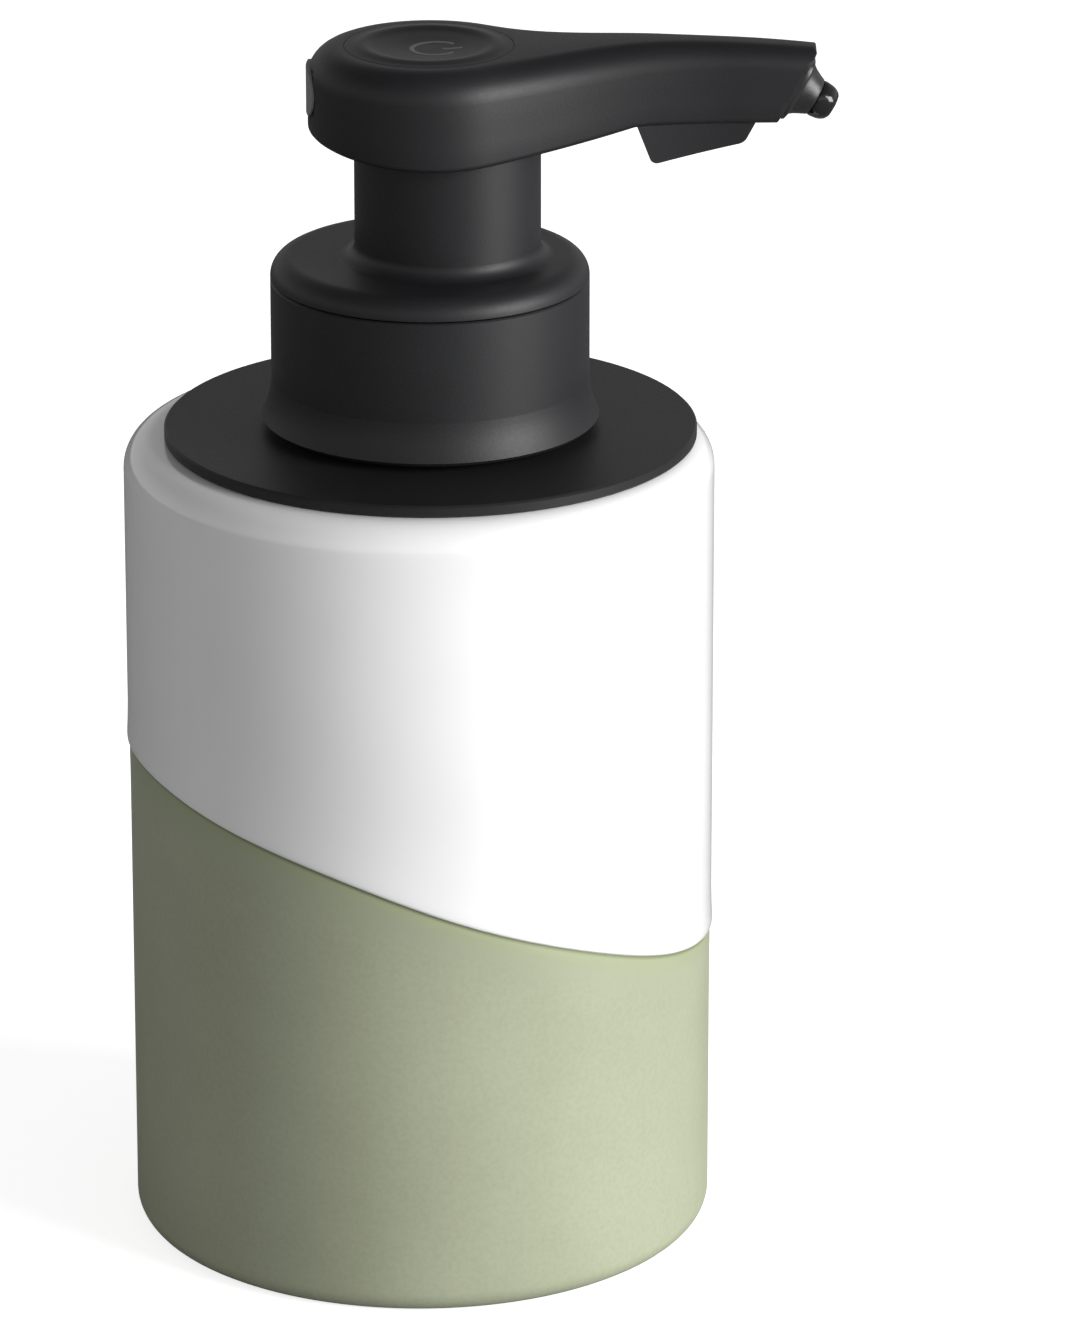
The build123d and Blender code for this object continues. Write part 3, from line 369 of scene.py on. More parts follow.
def green_glaze():
    """Satin sage glaze: fine speckle, soft clouding, and a painted shadow line just under the white
    coat's lip, fading into a yellower pooled tone.
    """
    material, tree, shader, coords = new_material("green_glaze")
    cloud = noise(tree, coords, scale=45.0, detail=5.0)
    speck = noise(tree, coords, scale=1500.0, detail=3.0)
    base = ramp(tree, cloud, (0.350, 0.375, 0.262), (0.378, 0.405, 0.286))
    dots = ramp(tree, speck, (0.94, 0.94, 0.93), (1.02, 1.02, 1.02), start=0.28, stop=0.62)
    mottled = tree.nodes.new("ShaderNodeMix")
    mottled.data_type = "RGBA"
    mottled.blend_type = "MULTIPLY"
    mottled.inputs["Factor"].default_value = 1.0
    tree.links.new(base, mottled.inputs["A"])
    tree.links.new(dots, mottled.inputs["B"])
    depth = tree.nodes.new("ShaderNodeAttribute")
    depth.attribute_name = "under_edge"
    # This ramp's darkest steps, within about half a millimetre under the white lip, are painted
    # shadow; lower down it is a yellower pooled-glaze tone.
    shadow_and_pool = tree.nodes.new("ShaderNodeValToRGB")
    steps = [
        (0.0, (0.12, 0.14, 0.075)),
        (0.02, (0.17, 0.195, 0.10)),
        (0.07, (0.335, 0.370, 0.228)),
        (0.30, (0.350, 0.380, 0.264)),
        (1.0, (0.353, 0.386, 0.277)),
    ]
    while len(shadow_and_pool.color_ramp.elements) < len(steps):
        shadow_and_pool.color_ramp.elements.new(0.5)
    for element, (position, colour) in zip(shadow_and_pool.color_ramp.elements, steps):
        element.position = position
        element.color = (*colour, 1)
    tree.links.new(depth.outputs["Fac"], shadow_and_pool.inputs["Fac"])
    edge = tree.nodes.new("ShaderNodeMapRange")
    edge.inputs["From Min"].default_value = 0.12
    edge.inputs["From Max"].default_value = 0.75
    tree.links.new(depth.outputs["Fac"], edge.inputs["Value"])
    blend = tree.nodes.new("ShaderNodeMix")
    blend.data_type = "RGBA"
    tree.links.new(edge.outputs["Result"], blend.inputs["Factor"])
    tree.links.new(shadow_and_pool.outputs["Color"], blend.inputs["A"])
    tree.links.new(mottled.outputs["Result"], blend.inputs["B"])
    tree.links.new(blend.outputs["Result"], shader.inputs["Base Color"])
    roughness(tree, shader, cloud, low=0.36, high=0.46)
    bump(tree, shader, [speck, cloud], distance=0.02 * MM, strength=0.6)
    return material


def bisque():
    """Bare fired clay on the foot ring, with grit."""
    material, tree, shader, coords = new_material("bisque")
    grit = noise(tree, coords, scale=2200.0, detail=6.0)
    cloud = noise(tree, coords, scale=150.0, detail=3.0)
    tint(tree, shader, cloud, (0.62, 0.57, 0.48), (0.72, 0.67, 0.58))
    roughness(tree, shader, grit, low=0.8, high=0.95)
    bump(tree, shader, [grit], distance=0.06 * MM, strength=0.8)
    return material


def clear_silicone(name, colour, transmission=0.55):
    """Cloudy translucent silicone or tube plastic."""
    material, tree, shader, coords = new_material(name)
    cloud = noise(tree, coords, scale=260.0, detail=4.0)
    low = tuple(c * 0.92 for c in colour)
    tint(tree, shader, cloud, low, colour)
    roughness(tree, shader, cloud, low=0.28, high=0.4)
    bump(tree, shader, [cloud], distance=0.01 * MM, strength=0.5)
    shader.inputs["Transmission Weight"].default_value = transmission
    shader.inputs["IOR"].default_value = 1.41
    return material


def metal(name, low, high, rough, stretch):
    """Brushed or turned metal: noise drawn out along one axis gives the lay of the scratches."""
    material, tree, shader, coords = new_material(name)
    lay = noise(tree, coords, scale=700.0, detail=4.0, stretch=stretch)
    cloud = noise(tree, coords, scale=120.0, detail=3.0)
    tint(tree, shader, cloud, low, high)
    roughness(tree, shader, lay, low=rough - 0.08, high=rough + 0.08)
    bump(tree, shader, [lay], distance=0.01 * MM, strength=0.7)
    shader.inputs["Metallic"].default_value = 1.0
    return material


def board_green():
    """Solder mask with the faint relief of copper tracks under it."""
    material, tree, shader, coords = new_material("board_green")
    tracks = tree.nodes.new("ShaderNodeTexBrick")
    tracks.inputs["Scale"].default_value = 260.0
    tracks.inputs["Mortar Size"].default_value = 0.035
    tracks.inputs["Color1"].default_value = (0.012, 0.085, 0.035, 1)
    tracks.inputs["Color2"].default_value = (0.014, 0.10, 0.042, 1)
    tracks.inputs["Mortar"].default_value = (0.035, 0.19, 0.09, 1)
    tree.links.new(coords.outputs["Object"], tracks.inputs["Vector"])
    tree.links.new(tracks.outputs["Color"], shader.inputs["Base Color"])
    bump(tree, shader, [tracks.outputs["Fac"]], distance=0.03 * MM, strength=0.8)
    shader.inputs["Roughness"].default_value = 0.35
    return material


def floor_paint():
    """The pale studio floor. It shows the camera more light than it throws on the object."""
    material, tree, shader, coords = new_material("studio_floor")
    cloud = noise(tree, coords, scale=3.0, detail=2.0)
    tint(tree, shader, cloud, (0.95, 0.95, 0.95), (0.96, 0.96, 0.96))
    shader.inputs["Roughness"].default_value = 0.9
    shader.inputs["Specular IOR Level"].default_value = 0.0
    dim = tree.nodes.new("ShaderNodeBsdfDiffuse")
    dim.inputs["Color"].default_value = (0.36, 0.36, 0.36, 1)
    shader.inputs["Emission Color"].default_value = (1, 1, 1, 1)
    shader.inputs["Emission Strength"].default_value = 0.74
    rays = tree.nodes.new("ShaderNodeLightPath")
    mix = tree.nodes.new("ShaderNodeMixShader")
    tree.links.new(rays.outputs["Is Camera Ray"], mix.inputs["Fac"])
    tree.links.new(dim.outputs["BSDF"], mix.inputs[1])
    tree.links.new(shader.outputs["BSDF"], mix.inputs[2])
    tree.links.new(mix.outputs["Shader"], tree.nodes["Material Output"].inputs["Surface"])
    return material


BLACK = moulded(
    "black_plastic", (0.0098, 0.0100, 0.0112), (0.0118, 0.0120, 0.0134),
    rough=0.50, specular=0.36,
)
DISC_BLACK = moulded(
    "disc_plastic", (0.0105, 0.0103, 0.0103), (0.0130, 0.0127, 0.0126),
    rough=0.50, grain=1900.0, specular=0.3,
)
GLOSS_BLACK = moulded(
    "gloss_black", (0.008, 0.008, 0.009), (0.010, 0.010, 0.011),
    rough=0.12, grain=700.0, depth=0.004 * MM,
)
BOOT_BLACK = moulded(
    "boot_rubber", (0.010, 0.010, 0.011), (0.014, 0.014, 0.015),
    rough=0.38, grain=2200.0,
)
GREY_RUBBER = moulded("grey_rubber", (0.20, 0.205, 0.21), (0.23, 0.235, 0.24), rough=0.6)
BLACK_RUBBER = moulded("black_rubber", (0.012, 0.012, 0.012), (0.018, 0.018, 0.018), rough=0.7)
NATURAL = moulded("natural_plastic", (0.56, 0.545, 0.49), (0.62, 0.605, 0.55), rough=0.45)
ACETAL = moulded("acetal", (0.72, 0.71, 0.67), (0.78, 0.77, 0.73), rough=0.35)
CHIP = moulded("chip_epoxy", (0.012, 0.012, 0.013), (0.018, 0.018, 0.019), rough=0.5, grain=4000.0)
LAMP = moulded("lamp_resin", (0.75, 0.75, 0.70), (0.82, 0.82, 0.78), rough=0.15, grain=600.0)
SMOKED = moulded(
    "smoked_window", (0.012, 0.005, 0.012), (0.018, 0.008, 0.018),
    rough=0.08, grain=500.0, depth=0.002 * MM,
)
MARK = moulded("mark_grey", (0.085, 0.086, 0.089), (0.10, 0.101, 0.105), rough=0.42)
MAGNET = moulded(
    "magnet_ferrite", (0.035, 0.035, 0.038), (0.05, 0.05, 0.053),
    rough=0.55, grain=1500.0,
)
WIRE = moulded(
    "wire_insulation", (0.33, 0.012, 0.008), (0.38, 0.018, 0.012),
    rough=0.35, grain=900.0,
)
RIBBON = moulded("ribbon_film", (0.52, 0.50, 0.42), (0.58, 0.56, 0.48), rough=0.3, grain=900.0)
STEEL = metal("steel", (0.50, 0.51, 0.53), (0.58, 0.59, 0.61), rough=0.32, stretch=(1, 1, 0.04))
BRASS = metal("brass", (0.62, 0.45, 0.20), (0.70, 0.52, 0.25), rough=0.3, stretch=(0.1, 1, 1))
COPPER = metal(
    "copper_winding", (0.58, 0.25, 0.12), (0.66, 0.31, 0.16),
    rough=0.3, stretch=(1, 1, 12),
)
FOIL = metal(
    "battery_foil", (0.62, 0.63, 0.65), (0.70, 0.71, 0.73),
    rough=0.35, stretch=(1, 0.2, 1),
)
SILICONE = clear_silicone("silicone", (0.80, 0.81, 0.80))
TUBE = clear_silicone("suction_tube_plastic", (0.86, 0.88, 0.88), transmission=0.8)
BOARD = board_green()

NODE_MATERIALS = {
    "mouth_sleeve": SILICONE,
    "mouth_disc": DISC_BLACK,
    "collar_ring": BLACK,
    "column_housing": BLACK,
    "chassis": NATURAL,
    "neck_gasket": BLACK_RUBBER,
    "pump_body": NATURAL,
    "cover_gasket": BLACK_RUBBER,
    "pump_cover": NATURAL,
    "drive_gear": ACETAL,
    "idler_gear": ACETAL,
    "idler_pin": STEEL,
    "shaft_seal": BLACK_RUBBER,
    "motor_can": STEEL,
    "motor_magnets": MAGNET,
    "motor_armature": COPPER,
    "motor_shaft": STEEL,
    "motor_end_cap": NATURAL,
    "motor_terminals": BRASS,
    "suction_tube": TUBE,
    "inlet_strainer": NATURAL,
    "outlet_hose": SILICONE,
    "head_base": BLACK,
    "ir_window": SMOKED,
    "ir_emitter": LAMP,
    "ir_receiver": CHIP,
    "sensor_board": BOARD,
    "sensor_ribbon": RIBBON,
    "main_board": BOARD,
    "board_chips": CHIP,
    "status_led": LAMP,
    "tact_switch": STEEL,
    "battery": FOIL,
    "motor_leads": WIRE,
    "battery_leads": WIRE,
    "usb_port": STEEL,
    "port_cover": GREY_RUBBER,
    "outlet_valve": SILICONE,
    "pump_cover_screws": STEEL,
    "chassis_screws": STEEL,
    "motor_screws": STEEL,
    "head_screws": STEEL,
}


def paint(obj, *materials):
    """Gives an object its materials, which its faces already point to by number."""
    numbers = [face.material_index for face in obj.data.polygons]
    obj.data.materials.clear()
    for material in materials:
        obj.data.materials.append(material)
    if len(materials) > 1:
        obj.data.polygons.foreach_set("material_index", numbers)


def place(obj, body, node, slot, *materials):
    """Paints a new piece, hangs it on its body and lets it stand for its CAD node."""
    paint(obj, *materials)
    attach(obj, body)
    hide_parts(node)


# ---- Bottle ----
def glaze_line(turn):
    """The height where the white coat ends: a level line on a bottle that was dipped at a slant."""
    wobble = 0.22 * math.sin(3 * turn + 0.6) + 0.12 * math.sin(7 * turn + 1.9)
    return GLAZE_MIDDLE - GLAZE_TILT * math.cos(turn - GLAZE_LOW_SIDE) + wobble * MM


def bottle_rows():
    """The bottle's rows from the recess under the foot, up the outside and down the inside.

    A row is a function of the turn that gives (radius, height, shift along x), and a material slot.
    """
    green_r = BOTTLE_R - GREEN_INSET
    white_r = BOTTLE_R + WHITE_PROUD
    top = BOTTLE_H - RIM_FILLET
    rows = []

    def level(radius, z, slot, x=0.0):
        rows.append((lambda t: (radius, z, x), slot))

    def curve(points, slot):
        for r, z in points:
            level(r, z, slot)

    def by_line(radius, profile, slot):
        """Rows that follow the glaze line, from (rise, proud) pairs in millimetres."""
        for rise, proud in profile:
            r, above = radius + proud * MM, rise * MM
            rows.append((lambda t, r=r, above=above: (r, glaze_line(t) + above, 0.0), slot))

    def wall(radius, height, shares, slot):
        """Rows part of the way up a stretch of wall."""
        for share in shares:
            rows.append((lambda t, s=share: (radius, height(t, s), 0.0), slot))

    def green_height(t, share, low=4 * MM, clear=12 * MM):
        return low + (glaze_line(t) - clear - low) * share

    def white_height(t, share, clear=5 * MM, under=2 * MM):
        line = glaze_line(t)
        return line + clear + (top - under - line - clear) * share

    # The foot: a recess and a bare ring of clay.
    recess_flat = RECESS_R - RECESS_FILLET
    curve([(r, RECESS_DEPTH) for r in (AXIS_HOLE, 14 * MM, recess_flat)], CLAY)
    curve(arc(recess_flat, RECESS_DEPTH - RECESS_FILLET, RECESS_FILLET, 90, 0, 4)[1:], CLAY)
    curve([(RECESS_R, RECESS_EASE), (RECESS_R + RECESS_EASE, 0.0), (FOOT_RING_R, 0.0)], CLAY)
    # The green coat, up to a faint bead under the line.
    level(green_r - FOOT_FILLET, 0.0, GREEN)
    curve(arc(green_r - FOOT_FILLET, FOOT_FILLET, FOOT_FILLET, -90, 0, 10)[1:], GREEN)
    wall(green_r, green_height, (0.0, 0.25, 0.5, 0.75, 1.0), GREEN)
    bead = [(-8, 0), (-5, 0.005), (-3.4, 0.02), (-2.4, 0.035), (-1.6, 0.04), (-1.0, 0.02)]
    bead += [(-0.6, -0.01), (-0.3, -0.04), (-0.1, -0.05)]
    by_line(green_r, bead, GREEN)
    # The white coat, from its thick lip over the rim to the seat and the mouth.
    lip = [(0.0, -0.16), (0.04, -0.04), (0.14, 0.05), (0.32, 0.11)]
    lip += [(0.6, 0.14), (1.2, 0.13), (2.4, 0.07), (5, 0)]
    by_line(white_r, lip, WHITE)
    wall(white_r, white_height, (0.15, 0.4, 0.7, 1.0), WHITE)
    curve(arc(white_r - RIM_FILLET, top, RIM_FILLET, 0, 90, 14), WHITE)
    level(31 * MM, BOTTLE_H, WHITE, PUMP_X * 0.5)
    seat = BOTTLE_H - SEAT_DEPTH
    under = BOTTLE_H - WALL
    mouth = [(SEAT_R + SEAT_EASE, BOTTLE_H), (SEAT_R, BOTTLE_H - SEAT_EASE), (SEAT_R, seat)]
    mouth += [(MOUTH_R + SEAT_EASE, seat), (MOUTH_R, seat - SEAT_EASE)]
    mouth += [(MOUTH_R, under + MOUTH_EASE), (MOUTH_R + MOUTH_EASE, under)]
    for r, z in mouth:
        level(r, z, WHITE, PUMP_X)
    # The inside, down to the floor.
    inner = BOTTLE_R - WALL - INNER_FILLET
    curve(arc(inner, under - INNER_FILLET, INNER_FILLET, 90, 0, 8), WHITE)
    curve(arc(inner, FLOOR_THICK + INNER_FILLET, INNER_FILLET, 0, -90, 8), WHITE)
    curve([(15 * MM, FLOOR_THICK), (AXIS_HOLE, FLOOR_THICK)], WHITE)
    return rows


def build_bottle():
    """The glazed bottle: a sage coat below a slanted line and a thicker white coat above it."""
    rows = bottle_rows()
    turns = [2 * math.pi * i / BOTTLE_STEPS for i in range(BOTTLE_STEPS)]
    rings = []
    for row, _ in rows:
        ring = []
        for t in turns:
            r, z, x = row(t)
            ring.append(Vector((x + r * math.cos(t), r * math.sin(t), z)))
        rings.append(ring)
    bottle = skin("bottle", rings, sharp_degrees=50, row_slots=[slot for _, slot in rows[1:]])
    # under_edge: how far below the glaze line a point lies, which the green glaze uses for its
    # painted shadow line and pooled tone.
    under = bottle.data.attributes.new("under_edge", "FLOAT", "POINT")
    values = []
    for vertex in bottle.data.vertices:
        turn = math.atan2(vertex.co.y, vertex.co.x)
        values.append((glaze_line(turn) - vertex.co.z) / SHADOW_AND_POOL_DEPTH)
    under.data.foreach_set("value", values)
    glazes = (white_glaze(), green_glaze(), bisque())
    place(bottle, "bottle", "bottle_shell", "bottle_glaze", *glazes)


# ---- Head ----
def spout_outline():
    """The head's plan from past the spout's tip round the +y side to the rear.

    It is a run of (point, outward normal) pairs about the pump's axis.
    """
    slope = Vector((1, -SPOUT_TAPER)).normalized()
    out = Vector((SPOUT_TAPER, 1)).normalized()
    offset = out.y * SPOUT_ROOT_HALF
    along = math.sqrt((HEAD_R + SPOUT_BLEND) ** 2 - (offset + SPOUT_BLEND) ** 2)
    blend = out * (offset + SPOUT_BLEND) + slope * along
    end = SPOUT_TIP + RUN_OUT
    tip_x = end - SPOUT_TIP_ROUND
    tip = Vector((tip_x, (offset - SPOUT_TIP_ROUND - out.x * tip_x) / out.y))
    # The flat end, then its corner.
    pairs = [(Vector((end, tip.y * i / END_STEPS)), Vector((1, 0))) for i in range(END_STEPS)]
    for normal in directions(0.0, math.atan2(out.y, out.x), CORNER_STEPS):
        pairs.append((tip + normal * SPOUT_TIP_ROUND, normal))
    # The spout's straight side.
    start, stop = pairs[-1][0], blend - out * SPOUT_BLEND
    pairs += [(start.lerp(stop, i / SIDE_STEPS), out) for i in range(1, SIDE_STEPS)]
    # The hollow curve into the round head.
    low = math.atan2(-out.y, -out.x)
    high = math.atan2(-blend.y, -blend.x)
    for inward in directions(low, high, BLEND_STEPS):
        pairs.append((blend + inward * SPOUT_BLEND, -inward))
    # The round head.
    touch = math.atan2(blend.y, blend.x)
    turned = directions(touch, math.pi, ROUND_STEPS)[1:]
    pairs += [(normal * HEAD_R, normal) for normal in turned]
    return pairs


def whole_outline():
    """Both sides of the head's plan, as one closed run."""
    half = spout_outline()
    other = [(Vector((p.x, -p.y)), Vector((n.x, -n.y))) for p, n in reversed(half[1:-1])]
    return half + other


def belly_height(x):
    """The height of the head's bowed underside."""
    z = BELLY_LOW + BELLY_R - math.sqrt(BELLY_R**2 - (x - BELLY_X) ** 2)
    return min(z, SPOUT_LOW) if x > BELLY_X else z


def end_plane(z, back=0.0):
    """Where the spout's slanted end stands at a height."""
    return END_FOOT_X + (z - SPOUT_LOW) * math.tan(END_SLANT) - back / math.cos(END_SLANT)


def head_ring(outline, inset, height):
    """One ring round the head: inset from the outline, at a height that depends on where it is."""
    ring = []
    for p, n in outline:
        q = p - n * (inset(p.x) if callable(inset) else inset)
        z = height(p, q) if callable(height) else height
        ring.append(Vector((q.x + PUMP_X, q.y, z)))
    return ring


def top_round(x):
    """The radius of the head's top edge: soft round the button, tighter along the spout."""
    along = smoothstep(TOP_SOFT_FROM_X, TOP_SOFT_TO_X, x)
    return TOP_SOFT_ROUND + (TOP_SOFT_SPOUT - TOP_SOFT_ROUND) * along


def roof(x):
    """The height of the head's top: level over the button, then gently crowned along the spout."""
    if x < CROWN_X:
        return HEAD_TOP + CROWN_RISE * smoothstep(CROWN_START, CROWN_X, x)
    return HEAD_TOP + CROWN_RISE * (1 - ((x - CROWN_X) / (SPOUT_TIP - CROWN_X)) ** 2)


def build_head_block():
    """The head's outside as one closed form, before it is hollowed."""
    outline = whole_outline()
    rings = [head_ring(outline, inset, lambda p, q: belly_height(q.x)) for inset in BELLY_INSETS]
    for i in range(FOOT_STEPS + 1):
        a = math.radians(90 * i / FOOT_STEPS)
        inset = FOOT_SOFT * (1 - math.sin(a))
        rise = FOOT_SOFT * (1 - math.cos(a))
        rings.append(head_ring(outline, inset, lambda p, q, r=rise: belly_height(q.x) + r))
    for share in (0.33, 0.66):
        def wall(p, q, s=share):
            low = belly_height(q.x) + FOOT_SOFT
            return low + (roof(p.x) - top_round(p.x) - low) * s
        rings.append(head_ring(outline, 0.0, wall))
    for i in range(TOP_STEPS + 1):
        a = math.radians(90 * i / TOP_STEPS)
        inset = lambda x, a=a: top_round(x) * (1 - math.cos(a))
        rise = lambda p, q, a=a: roof(q.x) - top_round(p.x) * (1 - math.sin(a))
        rings.append(head_ring(outline, inset, rise))
    count = len(outline)
    points = [p for ring in rings for p in ring]
    faces = ring_faces(len(rings), count)
    # Strips across the head close it below and above, since neither end is flat.
    last = (len(rings) - 1) * count
    for base, flip in ((0, True), (last, False)):
        for i in range(count // 2):
            a, b = base + i, base + i + 1
            c, d = base + (count - i - 1) % count, base + (count - i) % count
            quad = tuple(dict.fromkeys((a, b, c, d)))
            if len(quad) > 2:
                faces.append(quad[::-1] if flip else quad)
    return add_mesh("head_shell_skin", points, faces)


def end_cutter():
    """A block whose back is the spout's slanted end, tilted further back above the nose."""
    half_width = 12 * MM
    far = SPOUT_TIP + 12 * MM
    low_z, high_z = SPOUT_LOW - 6 * MM, HEAD_TOP + 4 * MM
    nose_z = HEAD_TOP - NOSE_CHAMFER
    nose_x = end_plane(nose_z)
    lean = (end_plane(HEAD_TOP) - NOSE_CHAMFER - nose_x) / NOSE_CHAMFER
    back_x = nose_x + lean * (high_z - nose_z)
    side = [(end_plane(low_z), low_z), (far, low_z), (far, high_z), (back_x, high_z)]
    side.append((nose_x, nose_z))
    ends = [[Vector((x + PUMP_X, y, z)) for x, z in side] for y in (half_width, -half_width)]
    return skin("end_cutter", ends)


def hollow_cutter():
    """The space inside the head, a wall's thickness in from its sides and its slanted end."""
    outline = whole_outline()
    below_head = 140 * MM
    rings = []
    for z in (below_head, HEAD_TOP - HEAD_ROOF):
        limit = end_plane(z, HEAD_WALL) + PUMP_X
        ring = head_ring(outline, HEAD_WALL, z)
        rings.append([Vector((min(p.x, limit), p.y, p.z)) for p in ring])
    return skin("hollow_cutter", rings)


def build_head():
    """The head shell: the outside form, hollowed and cut for cover, nozzle and button."""
    head = build_head_block()
    cut(head, end_cutter())
    soften(head, END_EDGE, HEAD_SHARP)
    cut(head, hollow_cutter())
    cut(head, port_cutter())
    cut(head, along_nozzle("nozzle_cutter", [(BORE_R, -3 * MM), (BORE_R, 1.5 * MM)], steps=48))
    soften(head, CUT_EDGE, HEAD_SHARP)
    # The button's hole comes last, so that its edge stays as tight as the seam it makes.
    hole = [(BUTTON_HOLE_R, HEAD_TOP - HEAD_ROOF - 1 * MM), (BUTTON_HOLE_R, HEAD_TOP + 2 * MM)]
    cut(head, lathe("button_cutter", hole, PUMP_X, steps=128))
    shade(head, HEAD_SHARP)
    place(head, "pump_core", "head_shell", "black_plastic", BLACK)


def port_cutter():
    """An oval bar through the rear wall, a little larger than the port cover."""
    low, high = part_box("port_cover")
    half_w = (high.y - low.y) / 2 + PORT_GAP
    middle_z = (low.z + high.z) / 2
    straight = half_w - PORT_HALF_HEIGHT
    ring = []
    for i in range(64):
        a = 2 * math.pi * i / 64
        y = PORT_HALF_HEIGHT * math.cos(a) + (straight if math.cos(a) > 0 else -straight)
        ring.append((y, middle_z + PORT_HALF_HEIGHT * math.sin(a)))
    wall_x = PUMP_X - HEAD_R
    rear = [Vector((wall_x - 3 * MM, y, z)) for y, z in ring]
    front = [Vector((wall_x + 4 * MM, y, z)) for y, z in ring]
    return skin("port_cutter", [front, rear])


# ---- Nozzle ----
def nozzle_matrix():
    """The nozzle's own frame: its z axis runs out and down from the middle of the slanted end."""
    middle_z = (SPOUT_LOW + BROW_LOW) / 2
    origin = Vector((end_plane(middle_z) + PUMP_X, 0, middle_z))
    axis = Vector((math.cos(END_SLANT), 0, -math.sin(END_SLANT)))
    across = Vector((0, 1, 0))
    up = axis.cross(across)
    turn = Matrix((across, up, axis)).transposed().to_4x4()
    return Matrix.Translation(origin) @ turn


def along_nozzle(name, profile, steps, sharp_degrees=32, caps=True, wave=None):
    """A turned form about the nozzle's axis, from (radius, distance) points."""
    matrix = nozzle_matrix()
    rings = []
    for radius, out in profile:
        ring = []
        for i in range(steps):
            t = 2 * math.pi * i / steps
            r = radius * (wave(t, out) if wave else 1)
            ring.append(matrix @ Vector((r * math.cos(t), r * math.sin(t), out)))
        rings.append(ring)
    return skin(name, rings, sharp_degrees, None, caps)


def nozzle_ring(matrix, across, up, out, square=None):
    """An oval ring about the nozzle's axis, in millimetres; square pulls it towards an oblong."""
    ring = []
    for i in range(NOZZLE_STEPS):
        t = 2 * math.pi * i / NOZZLE_STEPS
        c, s = math.cos(t), math.sin(t)
        pull = (abs(c) ** square + abs(s) ** square) ** (-1 / square) if square else 1
        ring.append(matrix @ Vector((across * MM * pull * c, up * MM * pull * s, out * MM)))
    return ring


def build_nozzle():
    """The nozzle outside the spout: a flange on the slanted end, and a boot that flares to it."""
    matrix = nozzle_matrix()
    flange = [(0, -0.02), (0, 0.45), (0.10, 0.62), (0.28, 0.70), (0.6, 0.70), (1.0, 0.62)]
    boot = [(3.10, 3.95, 0.68), (3.02, 3.78, 0.82), (2.94, 3.52, 1.1), (2.84, 3.22, 1.5)]
    boot += [(2.74, 2.95, 2.0), (2.62, 2.70, 2.5), (2.50, 2.52, 2.9), (2.40, 2.40, 3.03)]
    boot += [(1.75, 1.75, 3.08)]
    rings = []
    for inset, out in flange:
        across, up = FLANGE_ACROSS - inset, FLANGE_UP - inset
        rings.append(nozzle_ring(matrix, across, up, out, FLANGE_SQUARE))
    for across, up, out in boot:
        rings.append(nozzle_ring(matrix, across, up, out))
    nozzle = skin("nozzle_boot", rings, sharp_degrees=60)
    place(nozzle, "pump_core", "nozzle_body", "black_plastic", BOOT_BLACK)


def build_tip():
    """The glossy tip: six soft flats, a rounded mouth and the hole that soap leaves by."""
    def flats(t, out):
        return 1 - 0.045 * (0.5 + 0.5 * math.cos(6 * t)) * smoothstep(2.6 * MM, 4.4 * MM, out)

    outside = [(1.4, 3.1), (2.25, 3.1), (2.40, 3.16), (2.46, 3.4), (2.44, 3.8), (2.4, 4.2)]
    outside += [(2.32, 4.6), (2.15, 5.0), (1.9, 5.35), (1.6, 5.56), (1.38, 5.6), (1.24, 5.53)]
    outside.append((1.2, 5.35))
    inside = [(1.2, 4.0), (1.4, 4.0), (1.4, 3.11)]
    profile = [(r * MM, out * MM) for r, out in outside + inside]
    tip = along_nozzle(
        "nozzle_tip_skin", profile, TIP_STEPS, sharp_degrees=40, caps=False, wave=flats
    )
    weld_ends(tip, TIP_STEPS, len(profile))
    place(tip, "pump_core", "nozzle_tip", "gloss_black", GLOSS_BLACK)


def weld_ends(obj, count, rows):
    """Closes a turned form whose last ring meets its first one."""
    shape = bmesh.new()
    shape.from_mesh(obj.data)
    shape.verts.ensure_lookup_table()
    last = (rows - 1) * count
    for i in range(count):
        j = (i + 1) % count
        corners = [shape.verts[last + i], shape.verts[last + j], shape.verts[j], shape.verts[i]]
        shape.faces.new(corners).smooth = True
    bmesh.ops.recalc_face_normals(shape, faces=shape.faces)
    shape.to_mesh(obj.data)
    shape.free()


# ---- Button ----
def dish_height(radius):
    """The height of the button's face: a shallow dish inside a soft raised ring."""
    r = radius / MM
    ring = DISH_RING_RISE * math.exp(-(((r - DISH_RING_R) / DISH_RING_WIDTH) ** 2))
    bowl = -DISH_DEPTH * (1 - smoothstep(DISH_FLAT_R, DISH_R, r))
    return HEAD_TOP + (DISH_EDGE_RISE + ring + bowl) * MM


def build_button():
    """The power button, level with the head at its edge, with a rim under the head's roof."""
    low = HEAD_TOP - 2.0 * MM
    rim_r, rim_z = BUTTON_R + 0.6 * MM, low + 0.35 * MM
    profile = [(1.6 * MM, low), (rim_r, low), (rim_r, rim_z), (BUTTON_R, rim_z)]
    profile += [(BUTTON_R, HEAD_TOP - 0.2 * MM), (BUTTON_R, HEAD_TOP - 0.08 * MM)]
    profile += [(BUTTON_R - 0.03 * MM, HEAD_TOP - 0.02 * MM)]
    profile += [(BUTTON_R - 0.08 * MM, HEAD_TOP + 0.01 * MM)]
    for i in range(DISH_STEPS + 1):
        r = BUTTON_R - 0.2 * MM - (BUTTON_R - 0.5 * MM) * i / DISH_STEPS
        profile.append((r, dish_height(r)))
    button = lathe("button_cap", profile, PUMP_X, steps=160, sharp_degrees=40)
    place(button, "power_button", "power_button", "black_plastic", BLACK)


